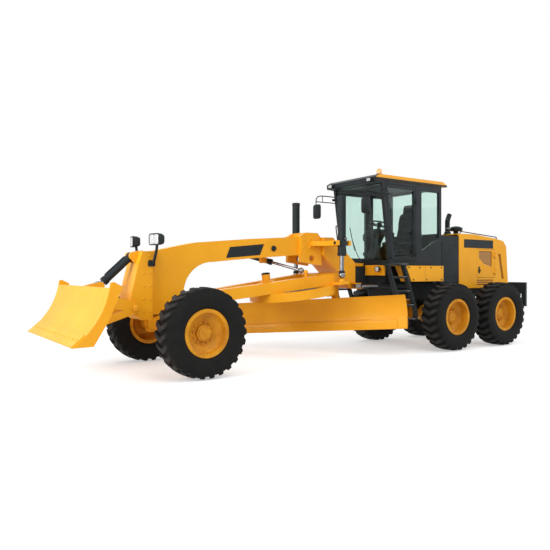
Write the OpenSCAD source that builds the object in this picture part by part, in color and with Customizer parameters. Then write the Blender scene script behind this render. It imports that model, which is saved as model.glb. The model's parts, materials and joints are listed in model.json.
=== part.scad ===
// Motor grader with a hinged frame, a turning blade under its goose-neck and a small dozer blade in front.
// X points forward, Y to the left and Z up. The floor is Z = 0, and X = 0 is the middle of the length.

/* [Overall] */
// Front axle to the middle of the tandem
wheelbase = 6360; // [6250:10:6500]
// Between the two tandem axles
tandem_spacing = 1566; // [1540:2:1640]
// Between the middle planes of the left and right tyres
track = 2160; // [2130:5:2220]
// Front axle to the tip of the dozer blade
front_reach = 1930; // [1900:5:2000]
// Middle of the tandem to the back of the rear bumper
rear_reach = 2040; // [2000:5:2150]
// Tandem middle to the frame hinge
hinge_ahead = 2360; // [2330:5:2400]

/* [Wheels] */
// Outside of the tyre over its lugs
tyre_d = 1348; // [1300:2:1380]
// Tyre width
tyre_w = 445; // [420:5:460]
// Height of a tread lug
lug_h = 34; // [20:1:40]
// Seat of the tyre's beads on the rim
rim_seat_d = 636; // [630:1:640]
// Outside of the rim's flanges
rim_flange_d = 716; // [700:2:730]
// Width of the rim
rim_w = 356; // [340:2:370]
// Depth of a front wheel's dish below its outer flange
front_dish = 130; // [110:5:150]
// Depth of a tandem wheel's dish below its outer flange
rear_dish = 185; // [170:5:200]
// Radius of the stub axles
stub_r = 60; // [50:1:65]

/* [Front frame] */
// Width of the goose-neck beam
beam_w = 320; // [280:5:360]
// Height of the beam's top over the front axle's neck
neck_top = 1885; // [1860:5:1900]
// Height of the beam's top at the saddle
beam_top = 2210; // [2190:5:2240]
// Depth of the beam
beam_depth = 335; // [300:5:350]
// Underside of the neck over the axle
neck_bottom = 900; // [880:5:920]
// Radius of the arch behind the neck
arch_r = 515; // [480:5:540]
// Width of the tail that carries the hinge plates
tail_w = 600; // [540:10:640]
// Thickness of a hinge plate
hinge_plate = 60; // [45:1:70]
// Underside of the lower hinge plate
hinge_low = 1250; // [1240:2:1270]
// Top of the upper hinge plate
hinge_high = 1740; // [1720:2:1750]
// Radius of the frame's hinge pin
hinge_pin_r = 60; // [50:1:70]

/* [Steering] */
// Kingpin to the middle of the machine
kingpin_y = 775; // [760:5:790]
// Radius of a kingpin
kingpin_r = 32; // [28:1:36]
// Length of a steering arm behind its kingpin
steer_arm = 280; // [250:5:300]

/* [Drawbar and circle] */
// Height of the drawbar's ball pivot
ball_z = 1060; // [1040:5:1080]
// Ball pivot behind the front axle
ball_back = 300; // [290:5:320]
// Slope of the drawbar, rear end up
drawbar_pitch = 7; // [6:0.5:8]
// Middle of the circle behind the ball, along the drawbar
circle_back = 2121; // [2080:5:2160]
// Outer radius of the circle
circle_r = 794; // [770:2:810]
// Height of the circle's ring
circle_h = 150; // [120:2:160]
// Underside of the circle below the ball, along the drawbar's own vertical
circle_low = 205; // [195:5:215]
// Angle of the blade from straight across, left end to the rear
blade_angle = 33; // [20:1:40]

/* [Blade] */
// Length of the moldboard
blade_l = 3965; // [3660:5:4000]
// Height of the moldboard with its edge
blade_h = 615; // [580:5:630]
// Radius of the moldboard's hollow face
blade_r = 450; // [420:5:500]
// Thickness of the moldboard
blade_t = 22; // [16:1:26]
// Gap from the circle's underside to the moldboard's top
blade_drop = 137; // [130:1:150]
// Cutting edge behind the circle's middle
blade_back = 450; // [430:5:460]
// Travel of the side shift each way
shift_travel = 550; // [450:10:560]

/* [Dozer blade] */
// Width of the dozer blade
dozer_w = 2600; // [2500:10:2640]
// Height of its cutting edge over the floor
dozer_low = 600; // [560:5:640]
// Thickness of its plate
dozer_t = 22; // [16:1:30]

/* [Cab] */
// Width of the cab over its doors
cab_w = 1440; // [1380:10:1480]
// Top of the cab floor
cab_floor = 1760; // [1750:5:1790]
// Underside of the roof
cab_eave = 3330; // [3300:5:3360]
// Thickness of the cab's walls and doors
cab_wall = 60; // [50:1:70]
// Thickness of the panes
pane_t = 8; // [6:1:12]

/* [Hood] */
// Width of the hood
hood_w = 1340; // [1280:10:1380]
// Length of the hood
hood_l = 1750; // [1710:5:1790]
// Height of the hood's top at its front
hood_top = 2390; // [2370:5:2420]
// Thickness of the hood's sheet and doors
hood_t = 28; // [20:1:36]

/* [Hidden] */
$fn = 48;

paint = "#f0a81e";
black = "#26282b";
rubber = "#1d1d1e";
glassy = "#b9d0c4";
steel = "#b9bcc0";
lamp = "#e8e4d8";

// Running gap between pieces that turn or slide on each other
run = 0.3;
// Running gap at a pin in its bore
fit = 0.06;
// A little more than a cut's own depth
over = 2;

x_front = (wheelbase + rear_reach - front_reach) / 2;
x_tandem = x_front - wheelbase;
x_hinge = x_tandem + hinge_ahead;
axle_z = tyre_d / 2;
wheel_y = track / 2;
left = 1;
right = -1;

// Shared forms

// A flat outline in X and Z, made a plate across Y
module across(width) rotate([90, 0, 0]) linear_extrude(width, center = true) children();

// A pair of plates at equal distances left and right of the middle
module both_sides(inner, thick)
    for (s = [left, right])
        translate([0, s * (inner + thick / 2), 0])
            across(thick)
                children();

// A round bar along Y, given its middle
module bar_y(r, width) rotate([90, 0, 0]) cylinder(r = r, h = width, center = true);

// A round bar along X, given its middle
module bar_x(r, width) rotate([0, 90, 0]) cylinder(r = r, h = width, center = true);

// A box given by its lowest and highest corners
module box(low, high) translate(low) cube(high - low);

// A bar of square section between two points in one X-Z plane
module strut(from, to, thick, width)
{
    run_x = to[0] - from[0];
    run_z = to[1] - from[1];
    translate([from[0], 0, from[1]])
        rotate([0, -atan2(run_z, run_x), 0])
            translate([0, -width / 2, -thick / 2])
                cube([norm([run_x, run_z]), width, thick]);
}

// Door hinge round its own upright axis, on an outer face that lies hinge_out inside it

hinge_out = 20;
hinge_r = 14;
hinge_pin = 8;
hinge_h = 70;
hinge_lug = 22;

// Moving half: a barrel with its pin, and a strap toward X times way
module hinge_leaf(way)
{
    cylinder(r = hinge_r, h = hinge_h, center = true);
    cylinder(r = hinge_pin, h = hinge_h + 2 * hinge_lug, center = true);
    linear_extrude(hinge_h, center = true)
        polygon([[0, hinge_r], [way * 70, -hinge_out + 10], [way * 70, -hinge_out - 1],
            [way * 12, -hinge_out - 1], [0, -hinge_r]]);
}

// Fixed half: two lugs with bores, reaching toward X times way
module hinge_lugs_fixed(way)
    for (z = [hinge_h / 2 + run, -hinge_h / 2 - run - hinge_lug])
        translate([0, 0, z])
            linear_extrude(hinge_lug)
                difference()
                {
                    union()
                    {
                        circle(r = hinge_r);
                        polygon([[0, hinge_r], [0, -hinge_r], [way * 8, -hinge_out - 1],
                            [way * 45, -hinge_out - 1], [way * 45, -hinge_out + 10]]);
                    }
                    circle(r = hinge_pin + fit);
                }

// Wheels

rim_wall = 14;
hub_r = 150;
disc_t = 26;
lip_h = 18;
seat_half = rim_w / 2 - lip_h;

// Rim round the Z axis, outer face up: barrel, dished disc, hub with its bore, and an eight-sided cap
module rim(dish)
{
    face = rim_w / 2 - dish;
    seat_r = rim_seat_d / 2;
    flange_r = rim_flange_d / 2;
    color(paint)
    {
        rotate_extrude()
            polygon([[seat_r - rim_wall, -rim_w / 2], [flange_r, -rim_w / 2],
                [flange_r, -rim_w / 2 + lip_h / 2], [seat_r, -seat_half], [seat_r, seat_half],
                [flange_r, rim_w / 2 - lip_h / 2], [flange_r, rim_w / 2], [seat_r - rim_wall, rim_w / 2],
                [seat_r - rim_wall - 10, face + 40], [hub_r + 40, face - 20], [stub_r + fit, face - 20],
                [stub_r + fit, face - 130], [hub_r - 30, face - 130], [hub_r - 20, face - 20 - disc_t],
                [hub_r + 40, face - 20 - disc_t], [seat_r - rim_wall - 10, face + 40 - 1.6 * disc_t]]);
        translate([0, 0, face - 20])
            cylinder(r = hub_r - 25, h = 50, $fn = 8);
        translate([0, 0, face + 30])
            cylinder(r = hub_r - 60, h = 14);
    }
}

// Tyre round the Z axis: a ring of points goes round at each height of its section, and faces join the rings

lugs = 26;
// Foot, crest, crest and foot of a lug, as shares of the pitch from lug to lug
lug_steps = [0, 0.12, 0.5, 0.62];
crest_half = (lug_steps[2] - lug_steps[1]) / 2;
crest_mid = (lug_steps[1] + lug_steps[2]) / 2;
// Angle by which a lug's outer ends trail its middle
lug_lean = 8;

function on_ring(r, angle, z) = [r * cos(angle), r * sin(angle), z];
function lug_angle(i) = 360 / lugs * (floor(i / 4) + lug_steps[i % 4] - crest_mid) + 90;
function lug_rise(i) = i % 4 == 1 || i % 4 == 2 ? lug_h : 0;

// Ring with the four points of each lug, its crests at radius r
function lug_ring(r, z, trail) =
    [for (i = [0 : 4 * lugs - 1])
        on_ring((r - lug_h + lug_rise(i)) / cos(360 / lugs * crest_half), lug_angle(i) - trail, z)];

// Ring with one point a lug, its flats clear of radius r
function plain_ring(r, z, trail) =
    [for (i = [0 : lugs - 1]) on_ring(r / cos(180 / lugs), 360 / lugs * i + 90 - trail, z)];

// Faces between two rings of n points, from the upper to the lower
function band(upper, lower, n) =
    [for (i = [0 : n - 1], half = [0, 1])
        let (next = (i + 1) % n)
            half == 0 ? [upper + i, upper + next, lower + i] : [upper + next, lower + next, lower + i]];

// Faces between a ring of lugs and a plain ring
function fan(lugged, plain, below) =
    [for (k = [0 : lugs - 1], i = [0 : 4])
        let (next = (k + 1) % lugs, four = lugged + 4 * k,
            tri = i < 3 ? [four + i, four + i + 1, plain + k]
                : i == 3 ? [four + 3, lugged + 4 * next, plain + next]
                : [four + 3, plain + next, plain + k])
            below ? tri : [tri[1], tri[0], tri[2]]];

module tyre(side)
{
    bead_r = rim_seat_d / 2 + 1;
    flange_r = rim_flange_d / 2 + 1;
    top_r = tyre_d / 2;
    half = tyre_w / 2;
    bead = seat_half - run;
    trail = side * lug_lean;
    few = lugs;
    many = 4 * lugs;
    points = concat(plain_ring(bead_r, bead, trail), plain_ring(flange_r, bead, trail),
        plain_ring(top_r - 160, half, trail), lug_ring(top_r - 20, half - 24, trail), lug_ring(top_r, 0, 0),
        lug_ring(top_r - 20, -half + 24, trail), plain_ring(top_r - 160, -half, trail),
        plain_ring(flange_r, -bead, trail), plain_ring(bead_r, -bead, trail));
    middle = 3 * few + many;
    lower = middle + 2 * many;
    faces = concat(band(0, few, few), band(few, 2 * few, few), fan(3 * few, 2 * few, false),
        band(3 * few, middle, many),
        band(middle, middle + many, many), fan(middle + many, lower, true), band(lower, lower + few, few),
        band(lower + few, lower + 2 * few, few), band(lower + 2 * few, 0, few));
    color(rubber)
        polyhedron(points, faces, convexity = 6);
}

// Puts a wheel's piece on its axle, outer face outwards
module on_axle(x, side)
    translate([x, side * wheel_y, axle_z])
        rotate([-side * 90, 0, 0])
            children();

x_mid = x_tandem + tandem_spacing / 2;
x_rear = x_tandem - tandem_spacing / 2;

// Front frame

neck_front = x_front + 420;
neck_back = x_front - 145;
arch_x = neck_back - arch_r;
arch_z = 1215;
beam_end = x_hinge + 1060;
tail_foot = x_hinge + 280;
eye_r = 160;
saddle_front = x_front - 2450;

module beam_outline()
    difference()
    {
        polygon([[neck_front, neck_bottom], [neck_front, neck_top], [x_front - 350, neck_top + 162],
            [x_front - 1400, beam_top - 70], [saddle_front, beam_top], [beam_end, beam_top],
            [beam_end, beam_top - beam_depth + 5], [saddle_front, beam_top - beam_depth],
            [x_front - 1400, beam_top - 70 - beam_depth - 5], [arch_x, arch_z + arch_r],
            [arch_x, neck_bottom]]);
        translate([arch_x, arch_z])
            circle(r = arch_r, $fn = 64);
        translate([arch_x - over, neck_bottom - over])
            square([arch_r + over, arch_z - neck_bottom + over]);
    }

module tail_outline()
    polygon([[beam_end, beam_top], [x_hinge + 840, beam_top + 5], [tail_foot, hinge_high],
        [tail_foot, hinge_low], [x_hinge + 420, hinge_low], [x_hinge + 710, 1560],
        [beam_end, beam_top - beam_depth + 5]]);

module hinge_eye(z)
    translate([0, 0, z])
        linear_extrude(hinge_plate)
            difference()
            {
                union()
                {
                    translate([x_hinge, 0])
                        circle(r = eye_r);
                    translate([x_hinge, -eye_r])
                        square([tail_foot - x_hinge + 20, 2 * eye_r]);
                }
                translate([x_hinge, 0])
                    circle(r = hinge_pin_r + fit);
            }

ball_x = x_front - ball_back;
cross_r = 28;
socket_gap = 64;
socket_t = 40;

module front_frame()
    color(paint)
    {
        across(beam_w)
            beam_outline();
        across(tail_w)
            tail_outline();
        hinge_eye(hinge_low);
        hinge_eye(hinge_high - hinge_plate);
        // Clevis that holds the drawbar's cross
        for (z = [ball_z + socket_gap, ball_z - socket_gap - socket_t])
            translate([0, 0, z])
                linear_extrude(socket_t)
                    difference()
                    {
                        union()
                        {
                            translate([ball_x, 0])
                                circle(r = 55);
                            translate([ball_x, -55])
                                square([neck_back - ball_x + 20, 110]);
                        }
                        translate([ball_x, 0])
                            circle(r = cross_r + fit);
                    }
        // Lugs that carry the axle's middle pin
        for (x = [x_front - 135, x_front + 85])
            box([x, -110, axle_pivot_z - 90], [x + 50, 110, neck_bottom]);
        translate([x_front, 0, axle_pivot_z])
            bar_x(axle_pin_r, 250);
        hinge_lugs();
        shift_bracket();
    }

// Saddle that carries the lift cylinders

lift_x = x_front - 3030;
lift_y = 700;
trunnion_z = 2090;
trunnion_r = 30;
barrel_r = 75;
saddle_t = 80;
fork_half = 45;
fork_root = lift_y - 155;

module saddle()
    color(paint)
    {
        both_sides(beam_w / 2, saddle_t)
            difference()
            {
                polygon([[saddle_front, beam_top - beam_depth - 130], [saddle_front, beam_top + 20],
                    [saddle_front - 110, beam_top + 80], [beam_end + 120, beam_top + 80],
                    [beam_end + 10, beam_top - 10], [beam_end + 10, beam_top - beam_depth - 190]]);
                translate([saddle_front - 250, beam_top - beam_depth - 60])
                    circle(r = 60);
            }
        box([saddle_front - 470, -beam_w / 2 - 1, beam_top], [saddle_front - 110, beam_w / 2 + 1,
            beam_top + 80]);
        for (s = [left, right])
            mirror([0, s == left ? 0 : 1, 0])
                difference()
                {
                    translate([0, 0, trunnion_z - fork_half])
                        linear_extrude(2 * fork_half)
                            polygon([[saddle_front - 220, 230], [beam_end + 15, 230],
                                [beam_end + 15, 340], [lift_x - 165, 440], [lift_x - 165, lift_y + 70],
                                [lift_x - 110, lift_y + 70], [lift_x - 110, fork_root],
                                [lift_x + 110, fork_root], [lift_x + 110, lift_y + 70],
                                [lift_x + 165, lift_y + 70], [lift_x + 165, 440],
                                [saddle_front - 220, 330]]);
                    translate([lift_x, lift_y, trunnion_z])
                        bar_x(trunnion_r + fit, 400);
                }
    }

// Front bracket and headlamps

dozer_pivot_x = x_front + 720;
dozer_pivot_z = 1020;
dozer_pin_r = 35;
ram_top_x = x_front + 676;
ram_top_z = 1814;
ram_pin_r = 25;
bracket_w = 500;

module front_bracket()
    color(paint)
    {
        across(bracket_w)
            polygon([[neck_front, neck_bottom], [neck_front, neck_top], [neck_front + 160, neck_top],
                [neck_front + 230, neck_top - 200], [neck_front + 340, 1240], [neck_front + 360, 960],
                [neck_front + 180, 830], [neck_front, 830]]);
        both_sides(66, 40)
            difference()
            {
                union()
                {
                    translate([ram_top_x, ram_top_z])
                        circle(r = 62);
                    polygon([[neck_front + 100, neck_top - 150], [neck_front + 100, neck_top + 20],
                        [ram_top_x - 20, ram_top_z + 58], [ram_top_x + 30, ram_top_z - 54],
                        [neck_front + 220, neck_top - 190]]);
                }
            }
        translate([ram_top_x, 0, ram_top_z])
            bar_y(ram_pin_r, 2 * 100);
        for (s = [left, right])
            translate([dozer_pivot_x, s * (bracket_w / 2 + 39), dozer_pivot_z])
                bar_y(dozer_pin_r, 80);
    }

lamp_x = x_front + 440;
lamp_y = 450;
lamp_z = 2060;

module headlamps()
    for (s = [left, right])
        mirror([0, s == left ? 0 : 1, 0])
        {
            color(black)
            {
                box([lamp_x - 40, bracket_w / 2, 1640], [lamp_x + 40, bracket_w / 2 + 12, 1760]);
                box([lamp_x - 25, bracket_w / 2 + 12, 1675], [lamp_x + 25, lamp_y + 25, 1725]);
                box([lamp_x - 25, lamp_y - 25, 1725], [lamp_x + 25, lamp_y + 25, lamp_z - 95]);
                box([lamp_x - 70, lamp_y - 130, lamp_z - 95], [lamp_x + 50, lamp_y + 130, lamp_z + 95]);
            }
            color(lamp)
                translate([lamp_x + 50, lamp_y, lamp_z])
                    for (y = [-62, 62])
                        translate([0, y, 0])
                            rotate([0, 90, 0])
                                cylinder(r = 54, h = 14);
        }

// Front axle and steering

axle_pivot_z = 800;
axle_pin_r = 45;
axle_half_x = 75;
eye_low = 575;
eye_high = 735;
// Inner end of the flat that an upper fork plate turns on
eye_flat = kingpin_y - axle_half_x - 20;
fork_t = 40;
web_y = 88;

module front_axle()
    color(paint)
        difference()
        {
            union()
            {
                translate([x_front, 0, 0])
                    rotate([90, 0, 90])
                        linear_extrude(2 * axle_half_x, center = true)
                            polygon([[-kingpin_y, eye_low], [-300, 600], [300, 600], [kingpin_y, eye_low],
                                [kingpin_y, eye_high], [eye_flat, eye_high], [260, 870], [-260, 870],
                                [-eye_flat, eye_high], [-kingpin_y, eye_high]]);
                for (s = [left, right])
                    translate([x_front, s * kingpin_y, eye_low])
                        cylinder(r = axle_half_x, h = eye_high - eye_low);
            }
            for (s = [left, right])
                translate([x_front, s * kingpin_y, eye_low - over])
                    cylinder(r = kingpin_r + fit, h = eye_high - eye_low + 2 * over);
            translate([x_front, 0, axle_pivot_z])
                bar_x(axle_pin_r, 300);
        }

tie_r = 24;
tie_pin_r = 20;
tie_eye_h = 58;

module knuckle(side)
    color(paint)
        translate([x_front, side * kingpin_y, 0])
        {
            for (z = [eye_low - run - fork_t, eye_high + run])
                translate([0, 0, z])
                {
                    cylinder(r = axle_half_x, h = fork_t);
                    box([-axle_half_x, min(0, side * (web_y + fork_t)), 0],
                        [axle_half_x, max(0, side * (web_y + fork_t)), fork_t]);
                }
            translate([0, 0, eye_low - run - fork_t])
                cylinder(r = kingpin_r, h = eye_high - eye_low + 2 * run + 2 * fork_t);
            box([-axle_half_x, min(side * web_y, side * (web_y + fork_t)), eye_low - run - fork_t],
                [axle_half_x, max(side * web_y, side * (web_y + fork_t)), eye_high + run + fork_t]);
            translate([0, side * (web_y + fork_t), axle_z])
                rotate([-side * 90, 0, 0])
                {
                    cylinder(r = 105, h = 30);
                    cylinder(r = stub_r, h = wheel_y - kingpin_y - web_y - fork_t + rim_w / 2
                        - front_dish - 30);
                }
            // Steering arm and its pin
            box([-steer_arm, -40, eye_low - run - fork_t], [0, 40, eye_low - run]);
            translate([-steer_arm, 0, eye_low - run - fork_t])
                cylinder(r = 46, h = fork_t);
            translate([-steer_arm, 0, eye_low - 2 * run - fork_t - tie_eye_h])
                cylinder(r = tie_pin_r, h = tie_eye_h + fork_t);
        }

module tie_rod()
    color(black)
        translate([x_front - steer_arm, 0, eye_low - 2 * run - fork_t - tie_eye_h])
            difference()
            {
                union()
                {
                    translate([0, 0, tie_eye_h / 2])
                        bar_y(tie_r, 2 * kingpin_y);
                    for (s = [left, right])
                        translate([0, s * kingpin_y, 0])
                            cylinder(r = 42, h = tie_eye_h);
                }
                for (s = [left, right])
                    translate([0, s * kingpin_y, -over])
                        cylinder(r = tie_pin_r + fit, h = tie_eye_h + 2 * over);
            }

// Drawbar, circle and blade, in the drawbar's own slope

module at_ball() translate([ball_x, 0, ball_z]) rotate([0, drawbar_pitch, 0]) children();
module at_circle() at_ball() translate([-circle_back, 0, -circle_low]) children();
module at_blade() at_circle() rotate([0, 0, blade_angle]) children();

fork_in = 62;
fork_w = 38;
leg_low = -circle_low + circle_h + run;
leg_high = leg_low + 200;
leg_w = 160;
rear_leg_y = 475;
bar_back = circle_back + 640;
bar_half = 95;
ball_eye_r = 62;
seat_r = 50;
ball_eye_z = 1510;

module drawbar_cross()
    color(steel)
        translate([ball_x, 0, ball_z])
        {
            sphere(r = fork_in - 4);
            cylinder(r = cross_r, h = 2 * (socket_gap + socket_t), center = true);
            rotate([0, drawbar_pitch, 0])
                bar_y(cross_r, 2 * (fork_in + fork_w));
        }

module drawbar()
    color(paint)
    {
        at_ball()
        {
            for (s = [left, right])
                mirror([0, s == left ? 0 : 1, 0])
                {
                    translate([0, 0, leg_low])
                        linear_extrude(leg_high - leg_low)
                            polygon([[-420, -2], [-420, 60], [-bar_back, rear_leg_y - leg_w / 2],
                                [-bar_back, rear_leg_y + leg_w / 2], [-330, 200],
                                [-240, fork_in + fork_w], [-240, -2]]);
                    // Fork plate that takes the cross
                    translate([0, fork_in + fork_w / 2, 0])
                        across(fork_w)
                            difference()
                            {
                                union()
                                {
                                    circle(r = 52);
                                    translate([-260, -46])
                                        square([260, 92]);
                                }
                                circle(r = cross_r + fit);
                            }
                }
            // Rear bar with the seats of the lift cylinders
            box([-bar_back - bar_half, -lift_y - 70, leg_low],
                [-bar_back + bar_half, lift_y + 70, leg_low + 46]);
            box([-bar_back - bar_half, -rear_leg_y - leg_w / 2, leg_low],
                [-bar_back + bar_half, rear_leg_y + leg_w / 2, leg_high]);
            // Cross plate over the front of the circle, with the turning gear's housing
            box([-circle_back + 430, -330, leg_low], [-circle_back + 640, 330, leg_low + 120]);
            translate([-circle_back + 540, 0, leg_low])
            {
                cylinder(r = 150, h = 210);
                cylinder(r = 75, h = 330);
            }
        }
        // Hooks under the legs that carry the circle by its inner lip
        at_circle()
            intersection()
            {
                rotate_extrude($fn = 180)
                    polygon([[circle_in - 50, circle_h + run + 1], [circle_in - run, circle_h + run + 1],
                        [circle_in - run, circle_h - lip_t - run],
                        [circle_in + 35, circle_h - lip_t - run], [circle_in + 35, circle_h - lip_t - 22],
                        [circle_in - 50, circle_h - lip_t - 22]]);
                for (s = [left, right])
                {
                    translate([530, s * 345, circle_h / 2])
                        cube([150, 110, 2 * circle_h], center = true);
                    translate([-430, s * 480, circle_h / 2])
                        cube([150, 120, 2 * circle_h], center = true);
                }
            }
        for (s = [left, right])
            translate([lift_x, s * lift_y, ball_eye_z - ball_eye_r - run - seat_r])
                sphere(r = seat_r);
        shift_stud();
    }

arm_u = 600;
arm_t = 70;
tip_n = -blade_back - 310;
tip_z = -blade_drop - blade_h + 157;
tip_pin_r = 35;
circle_in = circle_r - 134;
lip_t = 50;

// Outline of one of the circle's arms, in the blade's forward and upward directions
module arm_outline()
    difference()
    {
        union()
        {
            polygon([[-300, 55], [-blade_back - 390, 55], [-blade_back - 430, 15],
                [-blade_back - 430, -300], [tip_n - 75, tip_z], [tip_n + 70, tip_z + 20],
                [-blade_back - 315, tip_z + 75], [-blade_back - 315, -blade_drop - 193],
                [tip_n + 75, -blade_drop - 80], [-blade_back - 110, -blade_drop + 42],
                [-300, -blade_drop + 57]]);
            translate([tip_n, tip_z])
                circle(r = 80);
        }
        translate([tip_n, tip_z])
            circle(r = tip_pin_r + fit);
    }

module circle_ring()
    color(paint)
    {
        at_circle()
            rotate_extrude($fn = 180)
                polygon([[circle_r, 0], [circle_r, circle_h], [circle_in, circle_h],
                    [circle_in, circle_h - lip_t], [circle_in + 50, circle_h - lip_t],
                    [circle_in + 50, 0]]);
        at_blade()
            both_sides(arm_u - arm_t / 2, arm_t)
                arm_outline();
    }

// Moldboard: a hollow-ground plate swept along the blade, with its edge, guide rails and ends

face_n = -blade_back - blade_r + sqrt(pow(blade_r, 2) - pow(blade_h / 2, 2)) + blade_r;
face_z = -blade_drop - blade_h / 2;
rail_back = -blade_back - 180;
rail_half = 30;
rail_zs = [face_z + 180, face_z - 160];
rail_l = 2 * (arm_u + shift_travel) + 300;
// Depth of the hollow face behind its edges at the upper rail, and the rail's thickness from there
rail_hollow = sqrt(pow(blade_r, 2) - pow(rail_zs[0] - face_z, 2)) - sqrt(pow(blade_r,
    2) - pow(blade_h / 2, 2));
rail_thick = -blade_back - rail_hollow - blade_t / 2 - rail_back;
shift_n = rail_back - 62;
shift_r = 25;
rod_end_u = 1450;

module blade_outline()
    intersection()
    {
        difference()
        {
            translate([face_n, face_z])
                circle(r = blade_r + blade_t, $fn = 240);
            translate([face_n, face_z])
                circle(r = blade_r, $fn = 240);
        }
        translate([face_n - 2 * blade_r, face_z - blade_h / 2])
            square([2 * blade_r, blade_h]);
    }

module moldboard()
    color(paint)
        at_blade()
        {
            across(blade_l)
                blade_outline();
            // Bolted edge along the foot
            across(blade_l)
                translate([face_n, face_z])
                    intersection()
                    {
                        difference()
                        {
                            circle(r = blade_r + 1, $fn = 240);
                            circle(r = blade_r - 18, $fn = 240);
                        }
                        translate([-blade_r, -blade_h / 2])
                            square([blade_r, 150]);
                    }
            for (z = rail_zs)
                across(rail_l)
                    translate([rail_back, z - rail_half])
                        square([rail_thick, 2 * rail_half]);
            // Side shift rod and the bracket that holds its end
            translate([shift_n, 0, face_z])
            {
                rotate([-90, 0, 0])
                    translate([0, 0, -320])
                        cylinder(r = shift_r, h = rod_end_u + 320);
                translate([0, rod_end_u, 0])
                    box([-55, -25, -60], [112, 25, 60]);
            }
        }

carrier_u = 430;
carrier_t = 60;

// Carrier that the blade slides in and that tips between the circle's arms
module blade_carrier()
    color(paint)
        at_blade()
            difference()
            {
                union()
                {
                    both_sides(carrier_u, carrier_t)
                        difference()
                        {
                            polygon([[rail_back + 26, rail_zs[0] + rail_half + 40],
                                [rail_back + 26, rail_zs[1] - rail_half - 40],
                                [rail_back - 60, rail_zs[1] - rail_half - 40], [tip_n - 70, tip_z - 20],
                                [tip_n - 60, tip_z + 90],
                                [rail_back - 100, rail_zs[0] + rail_half + 40]]);
                            for (z = rail_zs)
                                translate([rail_back - run, z - rail_half - run])
                                    square([80, 2 * rail_half + 2 * run]);
                        }
                    translate([tip_n, 0, tip_z])
                    {
                        bar_y(52, 2 * (arm_u - arm_t / 2 - run));
                        bar_y(tip_pin_r, 2 * (arm_u + arm_t / 2));
                    }
                    translate([shift_n, -300, face_z])
                        bar_y(45, 1200);
                }
                translate([shift_n, -180, face_z])
                    bar_y(shift_r + run, 1400);
            }

// Lift cylinders

rod_r = 40;
gland_z = 1860;
barrel_top = 2950;

module lift_barrel(side)
    color(black)
        translate([lift_x, side * lift_y, 0])
        {
            difference()
            {
                union()
                {
                    translate([0, 0, gland_z])
                        cylinder(r = barrel_r, h = barrel_top - gland_z);
                    translate([0, 0, trunnion_z - 50])
                        cylinder(r = barrel_r + 14, h = 100);
                }
                translate([0, 0, gland_z - over])
                    cylinder(r = rod_r + fit, h = barrel_top - gland_z - 50);
            }
            for (s = [1, -1])
                translate([s * 127, 0, trunnion_z])
                    bar_x(trunnion_r, 90);
        }

module lift_rod(side)
    color(steel)
        translate([lift_x, side * lift_y, 0])
        {
            translate([0, 0, ball_eye_z])
            {
                sphere(r = ball_eye_r);
                cylinder(r = rod_r, h = barrel_top - ball_eye_z - 120);
            }
        }

// Side shift cylinder of the drawbar, from the beam's right to a stud on the drawbar's left leg

shift_base = [x_front - 2000, -250, 1780];
shift_eye = [x_front - 2440, 400, 1566];
shift_line = shift_eye - shift_base;
shift_long = norm(shift_line);
shift_turn = atan2(shift_line[1], shift_line[0]);
shift_dip = asin(-shift_line[2] / shift_long);
shift_pin_r = 25;

// Along the cylinder, with the local X axis pointing from its base to its eye
module at_shift() translate(shift_base) rotate([0, shift_dip, shift_turn]) children();

// Lug on the beam's right side that carries the barrel's one-sided trunnion
module shift_bracket()
    translate(shift_base)
        rotate([0, 0, shift_turn])
            difference()
            {
                union()
                {
                    box([-50, -190, -50], [50, -58, 50]);
                    box([-50, -190, 40], [50, -110, 120]);
                }
                translate([0, -58, 0])
                    bar_y(shift_pin_r + fit, 190);
            }

module shift_barrel()
    color(black)
        at_shift()
            difference()
            {
                union()
                {
                    translate([0, -75, 0])
                        bar_y(shift_pin_r, 150);
                    translate([-500, 0, 0])
                        rotate([0, 90, 0])
                            cylinder(r = 52, h = 630);
                }
                translate([-480, 0, 0])
                    rotate([0, 90, 0])
                        cylinder(r = shift_pin_r + fit, h = 700);
            }

module shift_rod()
    color(steel)
        at_shift()
        {
            translate([-180, 0, 0])
                rotate([0, 90, 0])
                    cylinder(r = shift_pin_r, h = shift_long + 85);
            translate([shift_long - 55 - run - 40, 0, 0])
                sphere(r = 55);
        }

module shift_stud()
{
    at_shift()
        translate([shift_long, 0, 0])
            sphere(r = 40);
    translate([shift_eye[0], shift_eye[1], shift_eye[2] - 160])
        cylinder(r = 24, h = 160);
}

// Dozer blade and its cylinder

dozer_r = 1167;
dozer_mid = [x_front + 2594, dozer_low + 959];
ram_eye_x = x_front + 1177;
ram_eye_z = 1354;
dozer_arm_y = 250;
arm_plate = 60;

module dozer_outline(thick)
    intersection()
    {
        difference()
        {
            translate(dozer_mid)
                circle(r = dozer_r + thick, $fn = 360);
            translate(dozer_mid)
                circle(r = dozer_r, $fn = 360);
        }
        polygon([[x_front + front_reach, dozer_low], [x_front + front_reach - 300, dozer_low],
            [x_front + 1200, dozer_low + 757], [x_front + 1500, dozer_low + 757],
            [x_front + front_reach + 20, dozer_low + 40]]);
    }

module dozer_end()
    difference()
    {
        polygon([[x_front + front_reach, dozer_low], [x_front + 1654, dozer_low + 5],
            [x_front + 1440, dozer_low + 360], [x_front + 1270, dozer_low + 770],
            [x_front + 1390, dozer_low + 835], [x_front + 1560, dozer_low + 790],
            [x_front + front_reach + 20, dozer_low + 40]]);
        translate(dozer_mid)
            circle(r = dozer_r, $fn = 360);
    }

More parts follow.
